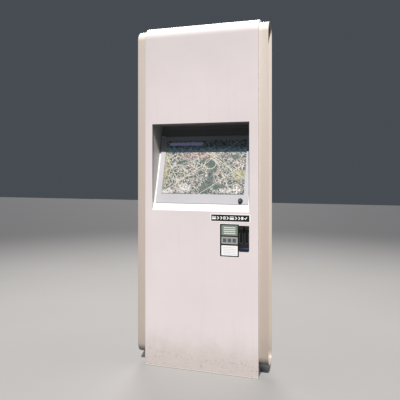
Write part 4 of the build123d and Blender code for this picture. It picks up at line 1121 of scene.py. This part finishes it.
# ---- screen frame and lock ----
def add_screen_frame(finishes):
    """The bezel with rounded corners, a bevelled window and a hole for the lock."""
    glass_low, glass_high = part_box("touch_glass")
    gap = 0.5 * MM
    foot = (glass_low.z - SLOPE_ORIGIN.z + BEZEL_SHEET * OUT.z) / UP.z
    head = (glass_high.z - SLOPE_ORIGIN.z) / UP.z
    length = (BEZEL_HIGH.z - SLOPE_ORIGIN.z) / UP.z
    bm = bmesh.new()
    slab(bm, round_corners(BEZEL_LOW.x, BEZEL_HIGH.x, 0, length, 4 * MM), -BEZEL_SHEET, 0)
    window = round_corners(glass_low.x - gap, glass_high.x + gap, foot - gap, head + gap, 1 * MM, 3)
    lock = Vector(joints["lock_turn"]["pos_m"])
    lock_u = (lock - SLOPE_ORIGIN).dot(UP)
    hole = circle(lock.x, lock_u, 8.1 * MM, 40)
    tools = [cutter(window, -8 * MM, 4 * MM), cutter(hole, -8 * MM, 4 * MM)]
    bm = cut("frame_blank", bm, tools, SLOPE, bevel=0.7 * MM)
    add_piece("screen_frame", bm, finishes["bezel_enamel"], "screen",
              replaces=["screen_bezel"])


def lathe(bm, x, y, profile, count, depth):
    """A turned solid: (radius, height, knurled) from the back to the front, closed at both ends."""
    rings = []
    for radius, z, knurl in profile:
        ring = []
        for k in range(count):
            angle = math.tau * k / count
            r = radius - (depth if knurl and k % 2 else 0)
            ring.append((x + r * math.cos(angle), y + r * math.sin(angle), z))
        rings.append(ring)
    sweep(bm, rings)


def add_lock(finishes, inks):
    """Key-operated lock: knurled black body and a grey plug with a key slot."""
    lock = Vector(joints["lock_turn"]["pos_m"])
    lock_u = (lock - SLOPE_ORIGIN).dot(UP)
    low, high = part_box("lock_knob")
    rim = (high.x - low.x) / 2 / MM
    profile = [
        (8.0, -12, 0), (8.0, 0.3, 0), (rim, 0.3, 0), (rim, 1.6, 0), (rim - 0.4, 2.0, 1), (rim - 0.4, 10.8, 1),
        (rim - 0.7, 11.4, 0), (rim - 1.2, 13.6, 0), (rim - 2.6, 15.0, 0), (9.4, 15.0, 0), (9.0, 13.6, 0),
    ]
    profile = [(r * MM, z * MM, knurl) for r, z, knurl in profile]
    bm = bmesh.new()
    lathe(bm, lock.x, lock_u, profile, 72, 0.45 * MM)
    add_piece("lock_body", bm, finishes["lock_black"], "lock", SLOPE, replaces=["lock_knob"])
    bm = bmesh.new()
    slab(bm, circle(lock.x, lock_u, 8.9 * MM, 40), 12 * MM, 14.4 * MM, crown=0.5 * MM)
    keyway = box_points(lock.x - 1.1 * MM, lock.x + 1.1 * MM, lock_u - 5.2 * MM, lock_u + 5.2 * MM)
    bm = cut("plug_blank", bm, [cutter(keyway, 12.8 * MM, 16 * MM)], SLOPE)
    add_piece("lock_plug", bm, inks["lock_face"], "lock")


# ---- main ----
add_camera()
finishes = make_finishes()
dress_nodes(finishes)
add_stage()
add_sun("key_sun", elevation=49.5, azimuth=13, strength=4.7, angle=1.0)
add_sun("back_fill", elevation=35, azimuth=-160, strength=1.3, angle=25)
add_cover(finishes["cover_enamel"])
for side in (-1, 1):
    add_band(side, finishes["band_enamel"])
inks = extra_finishes()
add_label(finishes, inks)
add_marks(finishes, inks)
add_reader(finishes, inks)
add_ceiling(finishes)
add_screen_frame(finishes)
add_lock(finishes, inks)

scene = bpy.context.scene
scene.view_settings.view_transform = "Standard"
scene.cycles.use_denoising = True
